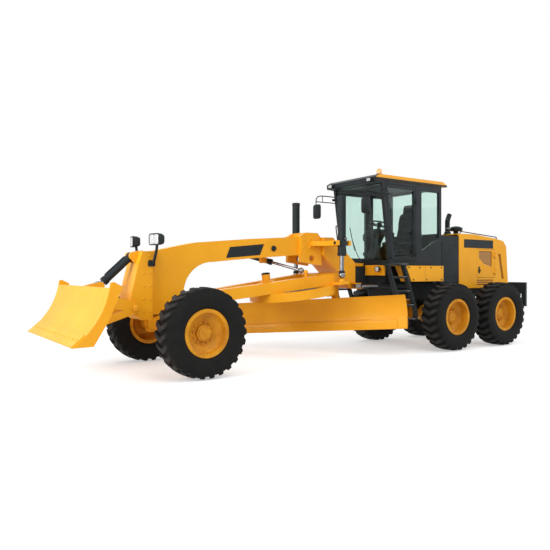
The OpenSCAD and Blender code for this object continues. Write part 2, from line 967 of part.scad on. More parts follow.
module dozer_blade()
    color(paint)
    {
        across(dozer_w)
            dozer_outline(dozer_t);
        both_sides(dozer_w / 2 - 25, 25)
            dozer_end();
        both_sides(700, 25)
            dozer_end_rib();
        // Push arms
        both_sides(dozer_arm_y + run, arm_plate)
            difference()
            {
                union()
                {
                    translate([dozer_pivot_x, dozer_pivot_z])
                        circle(r = 80);
                    difference()
                    {
                        polygon([[dozer_pivot_x - 20, dozer_pivot_z + 78],
                            [dozer_pivot_x - 30, dozer_pivot_z - 74], [x_front + 1560, dozer_low + 60],
                            [x_front + 1900, dozer_low + 60], [x_front + 1620, dozer_low + 480],
                            [x_front + 1380, dozer_low + 700]]);
                        polygon([[dozer_pivot_x + 200, dozer_pivot_z - 30],
                            [x_front + 1380, dozer_low + 230], [x_front + 1340, dozer_low + 480]]);
                        translate(dozer_mid)
                            circle(r = dozer_r + dozer_t / 2, $fn = 360);
                    }
                }
                translate([dozer_pivot_x, dozer_pivot_z])
                    circle(r = dozer_pin_r + fit);
            }
        // Ears and pin of the cylinder's eye
        both_sides(50, 30)
            union()
            {
                translate([ram_eye_x, ram_eye_z])
                    circle(r = 62);
                difference()
                {
                    polygon([[ram_eye_x, ram_eye_z + 62], [ram_eye_x - 40, ram_eye_z - 48],
                        [x_front + 1420, ram_eye_z - 300], [x_front + 1600, ram_eye_z - 200],
                        [x_front + 1500, ram_eye_z - 10], [x_front + 1400, ram_eye_z]]);
                    translate(dozer_mid)
                        circle(r = dozer_r + dozer_t / 2, $fn = 360);
                }
            }
        translate([ram_eye_x, 0, ram_eye_z])
            bar_y(ram_pin_r, 160);
    }

module dozer_end_rib()
    difference()
    {
        dozer_end();
        translate([x_front + 1200, dozer_low + 700])
            square([500, 300]);
    }

ram_line = [ram_eye_x - ram_top_x, ram_eye_z - ram_top_z];
ram_long = norm(ram_line);
ram_dip = -atan2(ram_line[1], ram_line[0]);
ram_slack = 20;

module at_ram() translate([ram_top_x, 0, ram_top_z]) rotate([0, ram_dip, 0]) children();

module dozer_barrel()
    color(black)
        at_ram()
            difference()
            {
                union()
                {
                    bar_y(55, 2 * (66 - run));
                    rotate([0, 90, 0])
                        cylinder(r = 60, h = ram_long - 90);
                }
                bar_y(ram_pin_r + fit, 300);
                translate([80, 0, 0])
                    rotate([0, 90, 0])
                        cylinder(r = 36 + fit, h = ram_long);
            }

module dozer_rod()
    color(steel)
        at_ram()
            difference()
            {
                union()
                {
                    translate([160, 0, 0])
                        rotate([0, 90, 0])
                            cylinder(r = 36, h = ram_long - 160);
                    translate([ram_long, 0, 0])
                        bar_y(72, 2 * (50 - 5));
                }
                translate([ram_long, 0, 0])
                    bar_y(ram_pin_r + ram_slack, 300);
            }

// Frame hinge cylinders

hinge_ram_z = 1300;
hinge_eye = [x_hinge + 350, 440];
hinge_base = [x_hinge - 900, 560];
hinge_ram_line = hinge_eye - hinge_base;
hinge_ram_long = norm(hinge_ram_line);
hinge_ram_turn = atan2(hinge_ram_line[1], hinge_ram_line[0]);
hinge_ram_pin = 26;
hinge_slack = 34;

module at_hinge_ram(side)
    translate([hinge_base[0], side * hinge_base[1], hinge_ram_z])
        rotate([0, 0, side * hinge_ram_turn])
            children();

// Lugs and pins on the front frame's tail for the rods' eyes
module hinge_lugs()
    for (s = [left, right])
        translate([hinge_eye[0], s * hinge_eye[1], hinge_ram_z])
        {
            cylinder(r = hinge_ram_pin, h = 110, center = true);
            for (z = [36, -36 - 20])
                translate([0, 0, z])
                    linear_extrude(20)
                        polygon([[-60, s * 40], [60, s * 40], [60, -s * (hinge_eye[1] - tail_w / 2 + 20)],
                            [-60, -s * (hinge_eye[1] - tail_w / 2 + 20)]]);
        }

module hinge_barrel(side)
    color(black)
        at_hinge_ram(side)
            difference()
            {
                union()
                {
                    cylinder(r = 46, h = 66, center = true);
                    rotate([0, 90, 0])
                        cylinder(r = 30, h = 100);
                    translate([80, 0, 0])
                        rotate([0, 90, 0])
                            cylinder(r = 46, h = 680);
                }
                cylinder(r = hinge_ram_pin + fit, h = 100, center = true);
                translate([110, 0, 0])
                    rotate([0, 90, 0])
                        cylinder(r = 26 + fit, h = 760);
            }

module hinge_rod(side)
    color(steel)
        at_hinge_ram(side)
            difference()
            {
                union()
                {
                    translate([330, 0, 0])
                        rotate([0, 90, 0])
                            cylinder(r = 26, h = hinge_ram_long - 330);
                    translate([hinge_ram_long, 0, 0])
                        cylinder(r = 84, h = 60, center = true);
                }
                translate([hinge_ram_long, 0, 0])
                    cylinder(r = hinge_ram_pin + hinge_slack, h = 100, center = true);
            }

// Rear frame and its drive

rail_in = 300;
rail_t = 110;
rail_low = 1010;
rail_high = 1340;
knuckle_r = 150;
x_step = x_hinge - 640;
x_bumper = x_tandem - rear_reach;
// Bolt holes for a rear tool's frame
tool_hole_r = 16;
tool_hole_y = 550;
tool_hole_z = 1195;

module rear_frame()
    color(black)
    {
        // Block between the hinge plates, with its pin
        translate([0, 0, hinge_low + hinge_plate + run])
            linear_extrude(hinge_high - hinge_low - 2 * hinge_plate - 2 * run)
                union()
                {
                    translate([x_hinge, 0])
                        circle(r = knuckle_r);
                    polygon([[x_hinge, -knuckle_r], [x_hinge - 210, -knuckle_r],
                        [x_hinge - 420, -rail_in - rail_t], [x_step - 120, -rail_in - rail_t],
                        [x_step - 120, rail_in + rail_t], [x_hinge - 420, rail_in + rail_t],
                        [x_hinge - 210, knuckle_r], [x_hinge, knuckle_r]]);
                }
        translate([x_hinge, 0, hinge_low])
            cylinder(r = hinge_pin_r, h = hinge_high - hinge_low);
        // Side rails, their step up to the block, and cross members
        both_sides(rail_in, rail_t)
            polygon([[x_step + 60, rail_high], [x_step - 120, rail_low], [x_bumper + 30, rail_low],
                [x_bumper + 30, rail_high], [x_step - 260, rail_high], [x_step - 120, 1560],
                [x_step + 60, 1560]]);
        for (x = [x_step - 120, x_tandem + 150, x_tandem - 1500])
            box([x - 90, -rail_in - 1, rail_low + 40], [x + 90, rail_in + 1, rail_high - 60]);
        // Seat of the rear axle
        both_sides(rail_in, rail_t)
            difference()
            {
                polygon([[x_tandem - 230, rail_low], [x_tandem + 230, rail_low],
                    [x_tandem + 230, drive_z + 60], [x_tandem - 230, drive_z + 60]]);
                translate([x_tandem, drive_z])
                    circle(r = housing_r);
            }
        // Rear bumper with its lamp brackets
        difference()
        {
            box([x_bumper, -950, 1060], [x_bumper + 60, 950, 1330]);
            for (s = [left, right])
                translate([x_bumper + 30, s * tool_hole_y, tool_hole_z])
                    bar_x(tool_hole_r, 60 + 2 * over);
        }
        for (s = [left, right])
            box([x_bumper, s * 900 - 50, 780], [x_bumper + 60, s * 900 + 50, 1061]);
        // Lugs of the hinge cylinders
        for (s = [left, right])
            translate([hinge_base[0], s * hinge_base[1], hinge_ram_z])
            {
                cylinder(r = hinge_ram_pin, h = 110, center = true);
                for (z = [34, -34 - 20])
                    translate([0, 0, z])
                        box([-60, min(s * 50, s * (rail_in + rail_t - 10 - hinge_base[1])), 0],
                            [60, max(s * 50, s * (rail_in + rail_t - 10 - hinge_base[1])), 20]);
            }
        // Cross beams under the cab
        box([x_step - 60, -620, 1560], [x_step + 40, 620, cab_low]);
        box([cab_back + 40, -620, rail_high - 10], [cab_back + 140, 620, cab_low]);
        // Beam under the hood's rear
        box([x_hood_end, -hood_w / 2, hood_low - 60], [x_hood_end + 70, hood_w / 2, hood_low]);
    }

// Dark section between the cab and the hood, standing on the rails

section_top = hood_top - 60;

module side_section()
    color(black)
        box([x_hood, -hood_w / 2 + 10, rail_high], [cab_back - 12, hood_w / 2 - 10, section_top]);

drive_z = axle_z;
housing_r = 190;
case_in = 590;
case_w = wheel_y - tyre_w / 2 - 55 - case_in;
case_h = 210;

module rear_drive()
    color(paint)
    {
        // Axle housing with its round middle
        translate([x_tandem, 0, drive_z])
        {
            bar_y(housing_r, 2 * case_in + 2);
            sphere(r = 300);
        }
        // Tandem cases with their round ends, and the stubs that carry the wheels
        for (s = [left, right])
        {
            translate([0, s * (case_in + case_w / 2), 0])
                across(case_w)
                    union()
                    {
                        for (x = [x_mid, x_rear])
                            translate([x, drive_z])
                                circle(r = case_h);
                        polygon([[x_mid, drive_z - case_h], [x_mid, drive_z + case_h],
                            [x_tandem, drive_z + case_h + 50], [x_rear, drive_z + case_h],
                            [x_rear, drive_z - case_h]]);
                    }
            for (x = [x_mid, x_rear])
                translate([x, s * (case_in + case_w), drive_z])
                    rotate([-s * 90, 0, 0])
                    {
                        cylinder(r = 110, h = 16);
                        cylinder(r = stub_r, h = wheel_y - case_in - case_w + rim_w / 2 - rear_dish - 30);
                    }
        }
    }

engine_front = x_tandem - 160;
engine_long = 1220;
engine_low = rail_low + 50;
engine_high = hood_top - 340;

module engine_block()
    color("#4a4d50")
        box([engine_front - engine_long, -rail_in, engine_low], [engine_front, rail_in, engine_high]);

// Hood over the engine

hood_front = 10;
hood_low = 1215;
hood_back_top = 2276;
x_hood = x_tandem + hood_front;
x_hood_end = x_hood - hood_l;
door_front = x_hood - 610;
door_back = x_hood - 1245;
door_low = 1440;
door_high = 2075;
door_gap = 6;

// Side view of the hood, drawn in by a sheet's thickness and past its open front and foot for the hollow
module hood_outline(in)
{
    past = in > 0 ? over : 0;
    polygon([[x_hood + past, hood_low - past], [x_hood + past, hood_top - in],
        [x_hood - 520, hood_top - in], [x_hood - 1268, hood_back_top + 46 - in],
        [x_hood_end + 194 + in / 2, hood_back_top - in],
        [x_hood_end + 77 + in, hood_back_top - 125 - in / 2], [x_hood_end + in, hood_low - past]]);
}

module hood()
    color(paint)
    {
        for (s = [0, 1], z = hood_hinges)
            mirror([0, s, 0])
                translate([hood_axis_x, hood_axis_y, z])
                    hinge_lugs_fixed(-1);
        difference()
        {
            across(hood_w)
                hood_outline(0);
            across(hood_w - 2 * hood_t)
                hood_outline(hood_t);
            // Door openings
            box([door_back, -hood_w, door_low], [door_front, hood_w, door_high]);
            // Room for the rails under the rear wall
            box([x_hood_end - over, -rail_in - rail_t - 10, hood_low - over],
                [x_hood_end + 100, rail_in + rail_t + 10, rail_high + 10]);
            // Rear opening behind the radiator, with bars left standing
            for (z = [rail_high + 115 : 90 : hood_back_top - 300])
                box([x_hood_end - over, -hood_w / 2 + 130, z],
                    [x_hood_end + 77 + hood_t, hood_w / 2 - 130, z + 55]);
            both_sides(hood_w / 2 - hood_t - over, hood_t + 2 * over)
            {
                // Slanted slot behind each door
                polygon([[x_hood - 1370, 1975], [x_hood - 1465, 1975], [x_hood - 1590, 1410],
                    [x_hood - 1500, 1410]]);
                // Louvres under each door
                for (z = [1280 : 45 : 1380])
                    translate([door_back + 65, z])
                        square([570, 24]);
            }
        }
    }

hood_axis_x = door_back + door_gap / 2;
hood_axis_y = hood_w / 2 + hinge_out;
hood_hinges = [door_low + 130, door_high - 130];

// Hood door with its window, hinged at its rear edge
module hood_door(side)
    color(paint)
    {
        translate([0, side * (hood_w / 2 - hood_t / 2), 0])
            across(hood_t)
                difference()
                {
                    translate([door_back + door_gap, door_low + door_gap])
                        square([door_front - door_back - 2 * door_gap,
                            door_high - door_low - 2 * door_gap]);
                    polygon([[door_back + 566, 2030], [door_back + 101, 2030], [door_back + 101, 1680],
                        [door_back + 388, 1744], [door_back + 566, 1875]]);
                }
        for (z = hood_hinges)
            mirror([0, side == left ? 0 : 1, 0])
                translate([hood_axis_x, hood_axis_y, z])
                    hinge_leaf(1);
    }

// Cab

cab_low = 1700;
cab_front_low = x_tandem + 2120;
cab_front_high = x_tandem + 2340;
cab_back = x_tandem + 640;
pillar_b = x_tandem + 1325;
pillar_w = 70;
// Width of the post between the door and the rear side window
post_w = 170;
// Reach of the roof and the dark visor under it, ahead of the windscreen
visor = 160;
roof_front = cab_front_high + visor;
door_gap_cab = 8;
sill = cab_floor + 20;
head = cab_eave - 70;

// X of the cab's sloping front at a height
function front_at(z) = cab_front_low
    + (cab_front_high - cab_front_low) * (z - cab_low) / (cab_eave - cab_low);

module cab_outline()
    polygon([[cab_front_low, cab_low], [cab_front_high, cab_eave], [cab_back, cab_eave],
        [cab_back, cab_low]]);

// Opening of a side door, grown by a margin on every edge
module door_opening(grow)
    polygon([[pillar_b + post_w / 2 - grow, sill - grow], [front_at(sill) - pillar_w + grow, sill - grow],
        [front_at(head) - pillar_w + grow, head + grow], [pillar_b + post_w / 2 - grow, head + grow]]);

// Side window behind the door, its foot rising to the rear

quarter_front_low = cab_floor + 225;
quarter_back_low = cab_floor + 505;
quarter_high = head - 65;
rear_window_low = 2360;

module quarter_opening(grow)
    polygon([[pillar_b - post_w / 2 + grow, quarter_front_low - grow],
        [cab_back + pillar_w - grow, quarter_back_low - grow],
        [cab_back + pillar_w - grow, quarter_high + grow],
        [pillar_b - post_w / 2 + grow, quarter_high + grow]]);

module cab_frame()
    color(black)
    {
        for (s = [0, 1], z = door_hinges)
            mirror([0, s, 0])
                translate([door_axis_x, door_axis_y, z])
                    hinge_lugs_fixed(-1);
        across(cab_w)
            polygon([[roof_front, cab_eave], [roof_front, cab_eave - 45],
                [front_at(head + 10) - 5, head + 10], [cab_front_high - 30, cab_eave]]);
        difference()
        {
            across(cab_w)
                cab_outline();
            // Inside
            across(cab_w - 2 * cab_wall)
                polygon([[front_at(cab_floor) - cab_wall, cab_floor],
                    [front_at(cab_eave + over) - cab_wall, cab_eave + over],
                    [cab_back + cab_wall, cab_eave + over], [cab_back + cab_wall, cab_floor]]);
            // Doors and side windows
            across(cab_w + 2 * over)
                door_opening(0);
            across(cab_w + 2 * over)
                quarter_opening(0);
            // Windscreen and rear window
            box([cab_front_low - 400, -cab_w / 2 + pillar_w, sill + 20],
                [cab_front_high + 400, cab_w / 2 - pillar_w, head]);
            box([cab_back - over, -cab_w / 2 + pillar_w, rear_window_low],
                [cab_back + cab_wall + 200, cab_w / 2 - pillar_w, head]);
        }
    }

roof_out = 12;

module cab_roof()
    color(paint)
        across(cab_w + 2 * roof_out)
            polygon([[roof_front, cab_eave], [roof_front, cab_eave + 50],
                [roof_front - 90, cab_eave + 100], [cab_back - 30, cab_eave + 100],
                [cab_back - 160, cab_eave + 40], [cab_back - 160, cab_eave]]);

module cab_glass()
    color(glassy)
    {
        // Windscreen, parallel to the sloping front
        across(cab_w - 2 * pillar_w - 2 * run)
            polygon([[front_at(sill + 20) - cab_wall / 2, sill + 21],
                [front_at(head) - cab_wall / 2, head - 1],
                [front_at(head) - cab_wall / 2 - pane_t, head - 1],
                [front_at(sill + 20) - cab_wall / 2 - pane_t, sill + 21]]);
        // Rear window
        box([cab_back + cab_wall / 2, -cab_w / 2 + pillar_w + run, rear_window_low + run],
            [cab_back + cab_wall / 2 + pane_t, cab_w / 2 - pillar_w - run, head - run]);
        // Rear quarter windows
        for (s = [left, right])
            translate([0, s * (cab_w / 2 - cab_wall / 2), 0])
                across(pane_t)
                    quarter_opening(-run);
    }

module cab_interior()
    color(black)
    {
        // Seat on its box
        box([x_tandem + 980, -170, cab_floor], [x_tandem + 1380, 170, cab_floor + 330]);
        box([x_tandem + 930, -250, cab_floor + 330], [x_tandem + 1440, 250, cab_floor + 450]);
        strut([x_tandem + 960, cab_floor + 420], [x_tandem + 850, cab_floor + 1050], 110, 460);
        // Steering column, wheel and lever console
        box([x_tandem + 1640, -110, cab_floor], [x_tandem + 1980, 110, cab_floor + 120]);
        strut([x_tandem + 1900, cab_floor + 60], [x_tandem + 1700, cab_floor + 800], 90, 160);
        translate([x_tandem + 1700, 0, cab_floor + 800])
            rotate([0, -15, 0])
            {
                rotate_extrude()
                    translate([190, 0])
                        circle(r = 16, $fn = 24);
                for (a = [0, 120, 240])
                    rotate([0, 0, a])
                        translate([95, 0, 0])
                            cube([190, 26, 18], center = true);
            }
    }

door_leaf_y = cab_w / 2 - cab_wall / 2;

door_axis_x = pillar_b + post_w / 2 + door_gap_cab / 2;
door_axis_y = cab_w / 2 + hinge_out;
door_hinges = [sill + 180, head - 260];

module door(side)
    color(black)
    {
        translate([0, side * door_leaf_y, 0])
            across(cab_wall)
                difference()
                {
                    door_opening(-door_gap_cab);
                    door_pane(0);
                }
        for (z = door_hinges)
            mirror([0, side == left ? 0 : 1, 0])
                translate([door_axis_x, door_axis_y, z])
                    hinge_leaf(1);
    }

// Glass of a door inside its frame
module door_pane(grow)
    polygon([[pillar_b + post_w / 2 + 48 - grow, sill + 80 - grow],
        [front_at(sill) - pillar_w - 62 + grow, sill + 80 - grow],
        [front_at(head) - pillar_w - 70 + grow, head - 70 + grow],
        [pillar_b + post_w / 2 + 48 - grow, head - 70 + grow]]);

module door_glass(side)
    color(glassy)
        translate([0, side * door_leaf_y, 0])
            across(pane_t)
                door_pane(-run);

// Panels, ladders and fittings

panel_out = 910;
panel_in = 620;
panel_low = 1380;
panel_high = 1690;
apron_in = 190;

module side_panels()
    color(paint)
    {
        for (s = [left, right])
            mirror([0, s == left ? 0 : 1, 0])
                translate([0, (panel_out + panel_in) / 2, 0])
                    across(panel_out - panel_in)
                        polygon([[x_tandem + 1731, panel_low], [x_tandem + 1890, panel_high],
                            [x_tandem + 800, panel_high], [x_tandem + 800, panel_low]]);
        // Apron ahead of the cab's floor, hung from a shelf under it
        for (s = [left, right])
            mirror([0, s == left ? 0 : 1, 0])
            {
                box([x_hinge - 110, apron_in, cab_low - 200], [x_hinge - 80, cab_w / 2, cab_low]);
                box([cab_front_low - 160, apron_in, cab_low - 18], [x_hinge - 81, cab_w / 2, cab_low]);
            }
    }

ladder_y = 880;
ladder_half = 45;
// Reach of the top step from the ladder's middle toward the cab
step_in = ladder_y - cab_w / 2 - 6;
ladder_tops = [x_tandem + 2360, x_tandem + 1935];
ladder_feet = [x_tandem + 1990, x_tandem + 1600];

// X of a ladder's upright at a height
function upright_at(i, z) = ladder_feet[i] + (ladder_tops[i] - ladder_feet[i]) * max(0, z - 800) / 900;

module ladders()
    color(black)
        for (s = [left, right])
            translate([0, s * ladder_y, 0])
            {
                for (i = [0, 1])
                    across(2 * ladder_half)
                        polygon([[ladder_feet[i] - 25, 620], [ladder_feet[i] + 25, 620],
                            [ladder_feet[i] + 25, 800], [ladder_tops[i] + 27, 1700],
                            [ladder_tops[i] - 27, 1700], [ladder_feet[i] - 25, 800]]);
                for (z = [650, 920, 1190, 1460])
                    box([upright_at(1, z), -ladder_half + 8, z - 18],
                        [upright_at(0, z), ladder_half - 8, z + 18]);
                box([ladder_tops[1] - 120, s == left ? -step_in : -ladder_half - 6, 1690],
                    [ladder_tops[0] + 60, s == left ? ladder_half + 6 : step_in, 1715]);
            }

module exhaust_and_intake()
    color(black)
    {
        translate([x_hood - 75, 300, hood_top])
        {
            cylinder(r = 72, h = 60);
            cylinder(r = 55, h = 300);
        }
        translate([x_hood - 75, 300, hood_top + 300])
        {
            sphere(r = 62);
            rotate([0, -25, 0])
                cylinder(r = 52, h = 160);
        }
        translate([x_hood - 360, 300, hood_top])
        {
            cylinder(r = 55, h = 90);
            translate([0, 0, 80])
                cylinder(r = 145, h = 60);
            translate([0, 0, 140])
                cylinder(r1 = 145, r2 = 60, h = 55);
        }
    }

mirror_x = x_tandem + 2790;
mirror_arms = [cab_eave - 310, cab_eave - 185];
mirror_low = cab_eave - 670;
mirror_high = cab_eave - 350;

module mirrors()
    color(black)
        for (s = [left, right])
            mirror([0, s == left ? 0 : 1, 0])
            {
                for (z = mirror_arms)
                    box([front_at(z) - 45, cab_w / 2, z - 12], [mirror_x + 12, cab_w / 2 + 24, z + 12]);
                box([mirror_x - 12, cab_w / 2, mirror_low + 40],
                    [mirror_x + 12, cab_w / 2 + 24, mirror_arms[1]]);
                box([mirror_x - 40, cab_w / 2 - 70, mirror_low],
                    [mirror_x - 11, cab_w / 2 + 90, mirror_high]);
            }

module lamps()
{
    color(lamp)
        for (y = [-570, 570])
            box([roof_front, y - 70, cab_eave - 45], [roof_front + 60, y + 70, cab_eave + 45]);
    color("#c8401e")
    {
        translate([cab_front_high - 40, 600, cab_eave + 100])
            cylinder(r = 65, h = 130);
        for (s = [left, right])
            box([x_bumper - 12, s * 800 - 90, 1120], [x_bumper, s * 800 + 90, 1270]);
    }
}

hitch_r = 25;

module tow_hitch()
    color(black)
        difference()
        {
            box([x_bumper - 130, -90, 1060], [x_bumper, 90, 1110]);
            translate([x_bumper - 70, 0, 1060 - over])
                cylinder(r = hitch_r, h = 50 + 2 * over);
        }

rear_frame();
side_section();
rear_drive();
engine_block();
hood();
hood_door(left);  // hood_door_left
hood_door(right);  // hood_door_right
cab_frame();
cab_roof();
cab_glass();
cab_interior();
door(left);  // door_left
door_glass(left);  // door_left_glass
door(right);  // door_right
door_glass(right);  // door_right_glass
side_panels();
ladders();
exhaust_and_intake();
mirrors();
lamps();
tow_hitch();
front_frame();
saddle();
front_bracket();
headlamps();
front_axle();
knuckle(left);  // knuckle_left
knuckle(right);  // knuckle_right
tie_rod();
drawbar_cross();
drawbar();
circle_ring();  // circle
blade_carrier();
moldboard();
lift_barrel(left);  // lift_barrel_left
lift_barrel(right);  // lift_barrel_right
lift_rod(left);  // lift_rod_left
lift_rod(right);  // lift_rod_right
shift_barrel();
shift_rod();
dozer_blade();
dozer_barrel();
dozer_rod();
hinge_barrel(left);  // hinge_barrel_left
hinge_barrel(right);  // hinge_barrel_right
hinge_rod(left);  // hinge_rod_left
hinge_rod(right);  // hinge_rod_right
on_axle(x_front, left) rim(front_dish);  // rim_front_left
on_axle(x_front, right) rim(front_dish);  // rim_front_right
on_axle(x_mid, left) rim(rear_dish);  // rim_mid_left
on_axle(x_mid, right) rim(rear_dish);  // rim_mid_right
on_axle(x_rear, left) rim(rear_dish);  // rim_rear_left
on_axle(x_rear, right) rim(rear_dish);  // rim_rear_right
on_axle(x_front, left) tyre(left);  // tyre_front_left
on_axle(x_front, right) tyre(right);  // tyre_front_right
on_axle(x_mid, left) tyre(left);  // tyre_mid_left
on_axle(x_mid, right) tyre(right);  // tyre_mid_right
on_axle(x_rear, left) tyre(left);  // tyre_rear_left
on_axle(x_rear, right) tyre(right);  // tyre_rear_right
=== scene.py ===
import json
import math
import bpy
import mathutils
import numpy as np
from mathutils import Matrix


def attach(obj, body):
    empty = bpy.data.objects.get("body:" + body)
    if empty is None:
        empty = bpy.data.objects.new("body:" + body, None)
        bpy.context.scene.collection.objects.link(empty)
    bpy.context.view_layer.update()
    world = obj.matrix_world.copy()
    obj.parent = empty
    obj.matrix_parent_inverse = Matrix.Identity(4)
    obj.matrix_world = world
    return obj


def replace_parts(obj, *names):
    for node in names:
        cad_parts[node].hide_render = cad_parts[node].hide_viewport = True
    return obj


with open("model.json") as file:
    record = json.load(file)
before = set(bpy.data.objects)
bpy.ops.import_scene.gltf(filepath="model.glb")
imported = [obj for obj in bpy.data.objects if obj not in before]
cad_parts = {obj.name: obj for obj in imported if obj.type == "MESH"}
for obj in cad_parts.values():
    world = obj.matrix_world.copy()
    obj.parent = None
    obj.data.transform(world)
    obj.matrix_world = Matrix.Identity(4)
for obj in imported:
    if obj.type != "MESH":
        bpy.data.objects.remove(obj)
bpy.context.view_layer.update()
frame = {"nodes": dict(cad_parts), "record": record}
nodes = frame["nodes"]
print("frame loaded:", len(nodes), "solids")

# places along the machine, in metres, and names that come back often
place = {"frontAxle": 3.235, "tandem": -3.125, "spacing": 1.566, "track": 1.08, "tyreRadius": 0.674}
tandem = place["tandem"]
wheels = {"front": place["frontAxle"], "mid": tandem + place["spacing"] / 2,
          "rear": tandem - place["spacing"] / 2}
bothSides = ((1, "_left"), (-1, "_right"))
rear = "rear_frame"
front = "front_frame"
up = (0, 0, 1)
forward = (1, 0, 0)
rearward = (-1, 0, 0)


# mesh tools
def gridFaces(rows, cols, wrapRows=False, wrapCols=False):
    # quads between neighbours (i, j) and (i+1, j+1), the last row or column joined to the first where asked
    i = np.arange(rows if wrapRows else rows - 1)[:, None]
    j = np.arange(cols if wrapCols else cols - 1)[None, :]
    k = (i + 1) % rows
    m = (j + 1) % cols
    return np.stack([i * cols + j, k * cols + j, k * cols + m, i * cols + m], -1).reshape(-1, 4)


def putMesh(name, shape, look, body, crease=40, smooth=True):
    # one piece: its shape is points, faces and caps, its look a finish and the name of a slot
    points, faces, caps = shape
    finish, slotName = look
    mesh = bpy.data.meshes.new(name)
    mesh.from_pydata(np.asarray(points, float).reshape(-1, 3).tolist(), [], np.asarray(faces).tolist() + caps)
    mesh.validate()
    mesh.update()
    if smooth:
        mesh.polygons.foreach_set("use_smooth", np.ones(len(mesh.polygons), bool))
        mesh.set_sharp_from_angle(angle=math.radians(crease))
    mesh.materials.append(finish)
    piece = bpy.data.objects.new(name, mesh)
    bpy.context.scene.collection.objects.link(piece)
    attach(piece, body)
    return piece


def axesFor(direction, hint=up):
    # three unit vectors at right angles, the last along the direction
    c = np.asarray(direction, float)
    c = c / np.linalg.norm(c)
    a = np.cross(np.asarray(hint, float), c)
    if np.linalg.norm(a) < 1e-6:
        a = np.cross((1.0, 0, 0), c)
    a = a / np.linalg.norm(a)
    return np.stack([a, np.cross(c, a), c])


def circlePoints(radius, count):
    # points (k, 2) of a circle, or of a toothed ring where the radius is one number for each point
    t = np.arange(count) * 2 * math.pi / count
    return np.stack([radius * np.cos(t), radius * np.sin(t)], -1)


def roundOutline(wide, high, radius, perCorner=5):
    # rectangle with quarter-circle corners
    t = np.linspace(0, math.pi / 2, perCorner)
    corner = []
    for turn, sx, sy in ((0, 1, 1), (1, -1, 1), (2, -1, -1), (3, 1, -1)):
        a = t + turn * math.pi / 2
        corner.append(np.stack([sx * (wide / 2 - radius) + radius * np.cos(a),
                                sy * (high / 2 - radius) + radius * np.sin(a)], -1))
    return np.concatenate(corner)


def endCaps(rows, cols):
    # the first and last ring of a grid, each as one face that looks outward
    return [list(range(cols))[::-1], list(range((rows - 1) * cols, rows * cols))]


def stacked(outline, levels, centre, axes):
    # the closed shape of an outline (k, 2) about its own middle, carried up through (inset, height) levels,
    # turned by the axes and set at the centre
    inset, height = np.array(levels, float).T[:, :, None]
    flat = outline * (1 - inset / np.abs(outline).max(0))[:, None, :]
    rows, cols = flat.shape[:2]
    local = np.dstack([flat, np.broadcast_to(height, (rows, cols))])
    points = np.asarray(centre, float) + local.reshape(-1, 3) @ axes
    return points, gridFaces(rows, cols, wrapCols=True)[:, ::-1], endCaps(rows, cols)


def block(name, centre, size, look, body, radius=0.01, bevel=0.004, direction=up, hint=up):
    # rounded block: a round-cornered outline of size[0] by size[1], size[2] deep along the direction
    half = size[2] / 2
    levels = [(bevel, -half), (bevel * 0.3, -half + bevel * 0.3), (0, -half + bevel), (0, half - bevel),
              (bevel * 0.3, half - bevel * 0.3), (bevel, half)]
    shape = stacked(roundOutline(size[0], size[1], radius), levels, centre, axesFor(direction, hint))
    return putMesh(name, shape, look, body)


def joined(shapes):
    # several shapes as one
    points, faces, caps, base = [], [], [], 0
    for p, f, c in shapes:
        points.append(p)
        faces.append(np.asarray(f) + base)
        caps += [[v + base for v in cap] for cap in c]
        base += len(p)
    return np.concatenate(points), np.concatenate(faces), caps


def boltHeads(name, places, direction, look, body, radius=0.016, height=0.012, sides=6, washer=True):
    # one head of so many sides, and a round washer under it, repeated at every place
    axes = axesFor(direction)
    head = circlePoints(radius, sides)
    headLevels = [(0, 0), (0, height * 0.9), (radius * 0.16, height)]
    disc = circlePoints(1.5 * radius, 14)
    discLevels = [(0, -0.002), (0, height * 0.25), (radius * 0.15, height * 0.32)]
    shapes = []
    for spot in np.atleast_2d(places):
        if washer:
            shapes.append(stacked(disc, discLevels, spot, axes))
        shapes.append(stacked(head, headLevels, spot, axes))
    return putMesh(name, joined(shapes), look, body, crease=25)


def revolved(name, profile, centre, direction, look, body, turns=48, closed=False):
    # a profile of (radius, height) turned about the direction through the centre
    profile = np.asarray(profile, float)
    rows = len(profile)
    t = np.arange(turns) * 2 * math.pi / turns
    r = profile[:, 0][:, None]
    high = np.broadcast_to(profile[:, 1][:, None], (rows, turns))
    local = np.stack([r * np.cos(t), r * np.sin(t), high], -1)
    points = np.asarray(centre, float) + local.reshape(-1, 3) @ axesFor(direction)
    faces = gridFaces(rows, turns, wrapRows=closed, wrapCols=True)[:, ::-1]
    caps = [cap for cap, end in zip(endCaps(rows, turns), (0, -1)) if profile[end, 0] > 1e-5 and not closed]
    return putMesh(name, (points, faces, caps), look, body, crease=35)


def smoothPath(knots, count):
    # a Catmull-Rom curve through the knots, evenly spaced in its parameter
    k = np.asarray(knots, float)
    k = np.concatenate([[2 * k[0] - k[1]], k, [2 * k[-1] - k[-2]]])
    u = np.linspace(0, len(k) - 3 - 1e-9, count)
    i = u.astype(int)
    t = (u - i)[:, None]
    p0, p1, p2, p3 = k[i], k[i + 1], k[i + 2], k[i + 3]
    square = (2 * p0 - 5 * p1 + 4 * p2 - p3) * t ** 2
    cube = (3 * p1 - p0 - 3 * p2 + p3) * t ** 3
    return 0.5 * (2 * p1 + (p2 - p0) * t + square + cube)


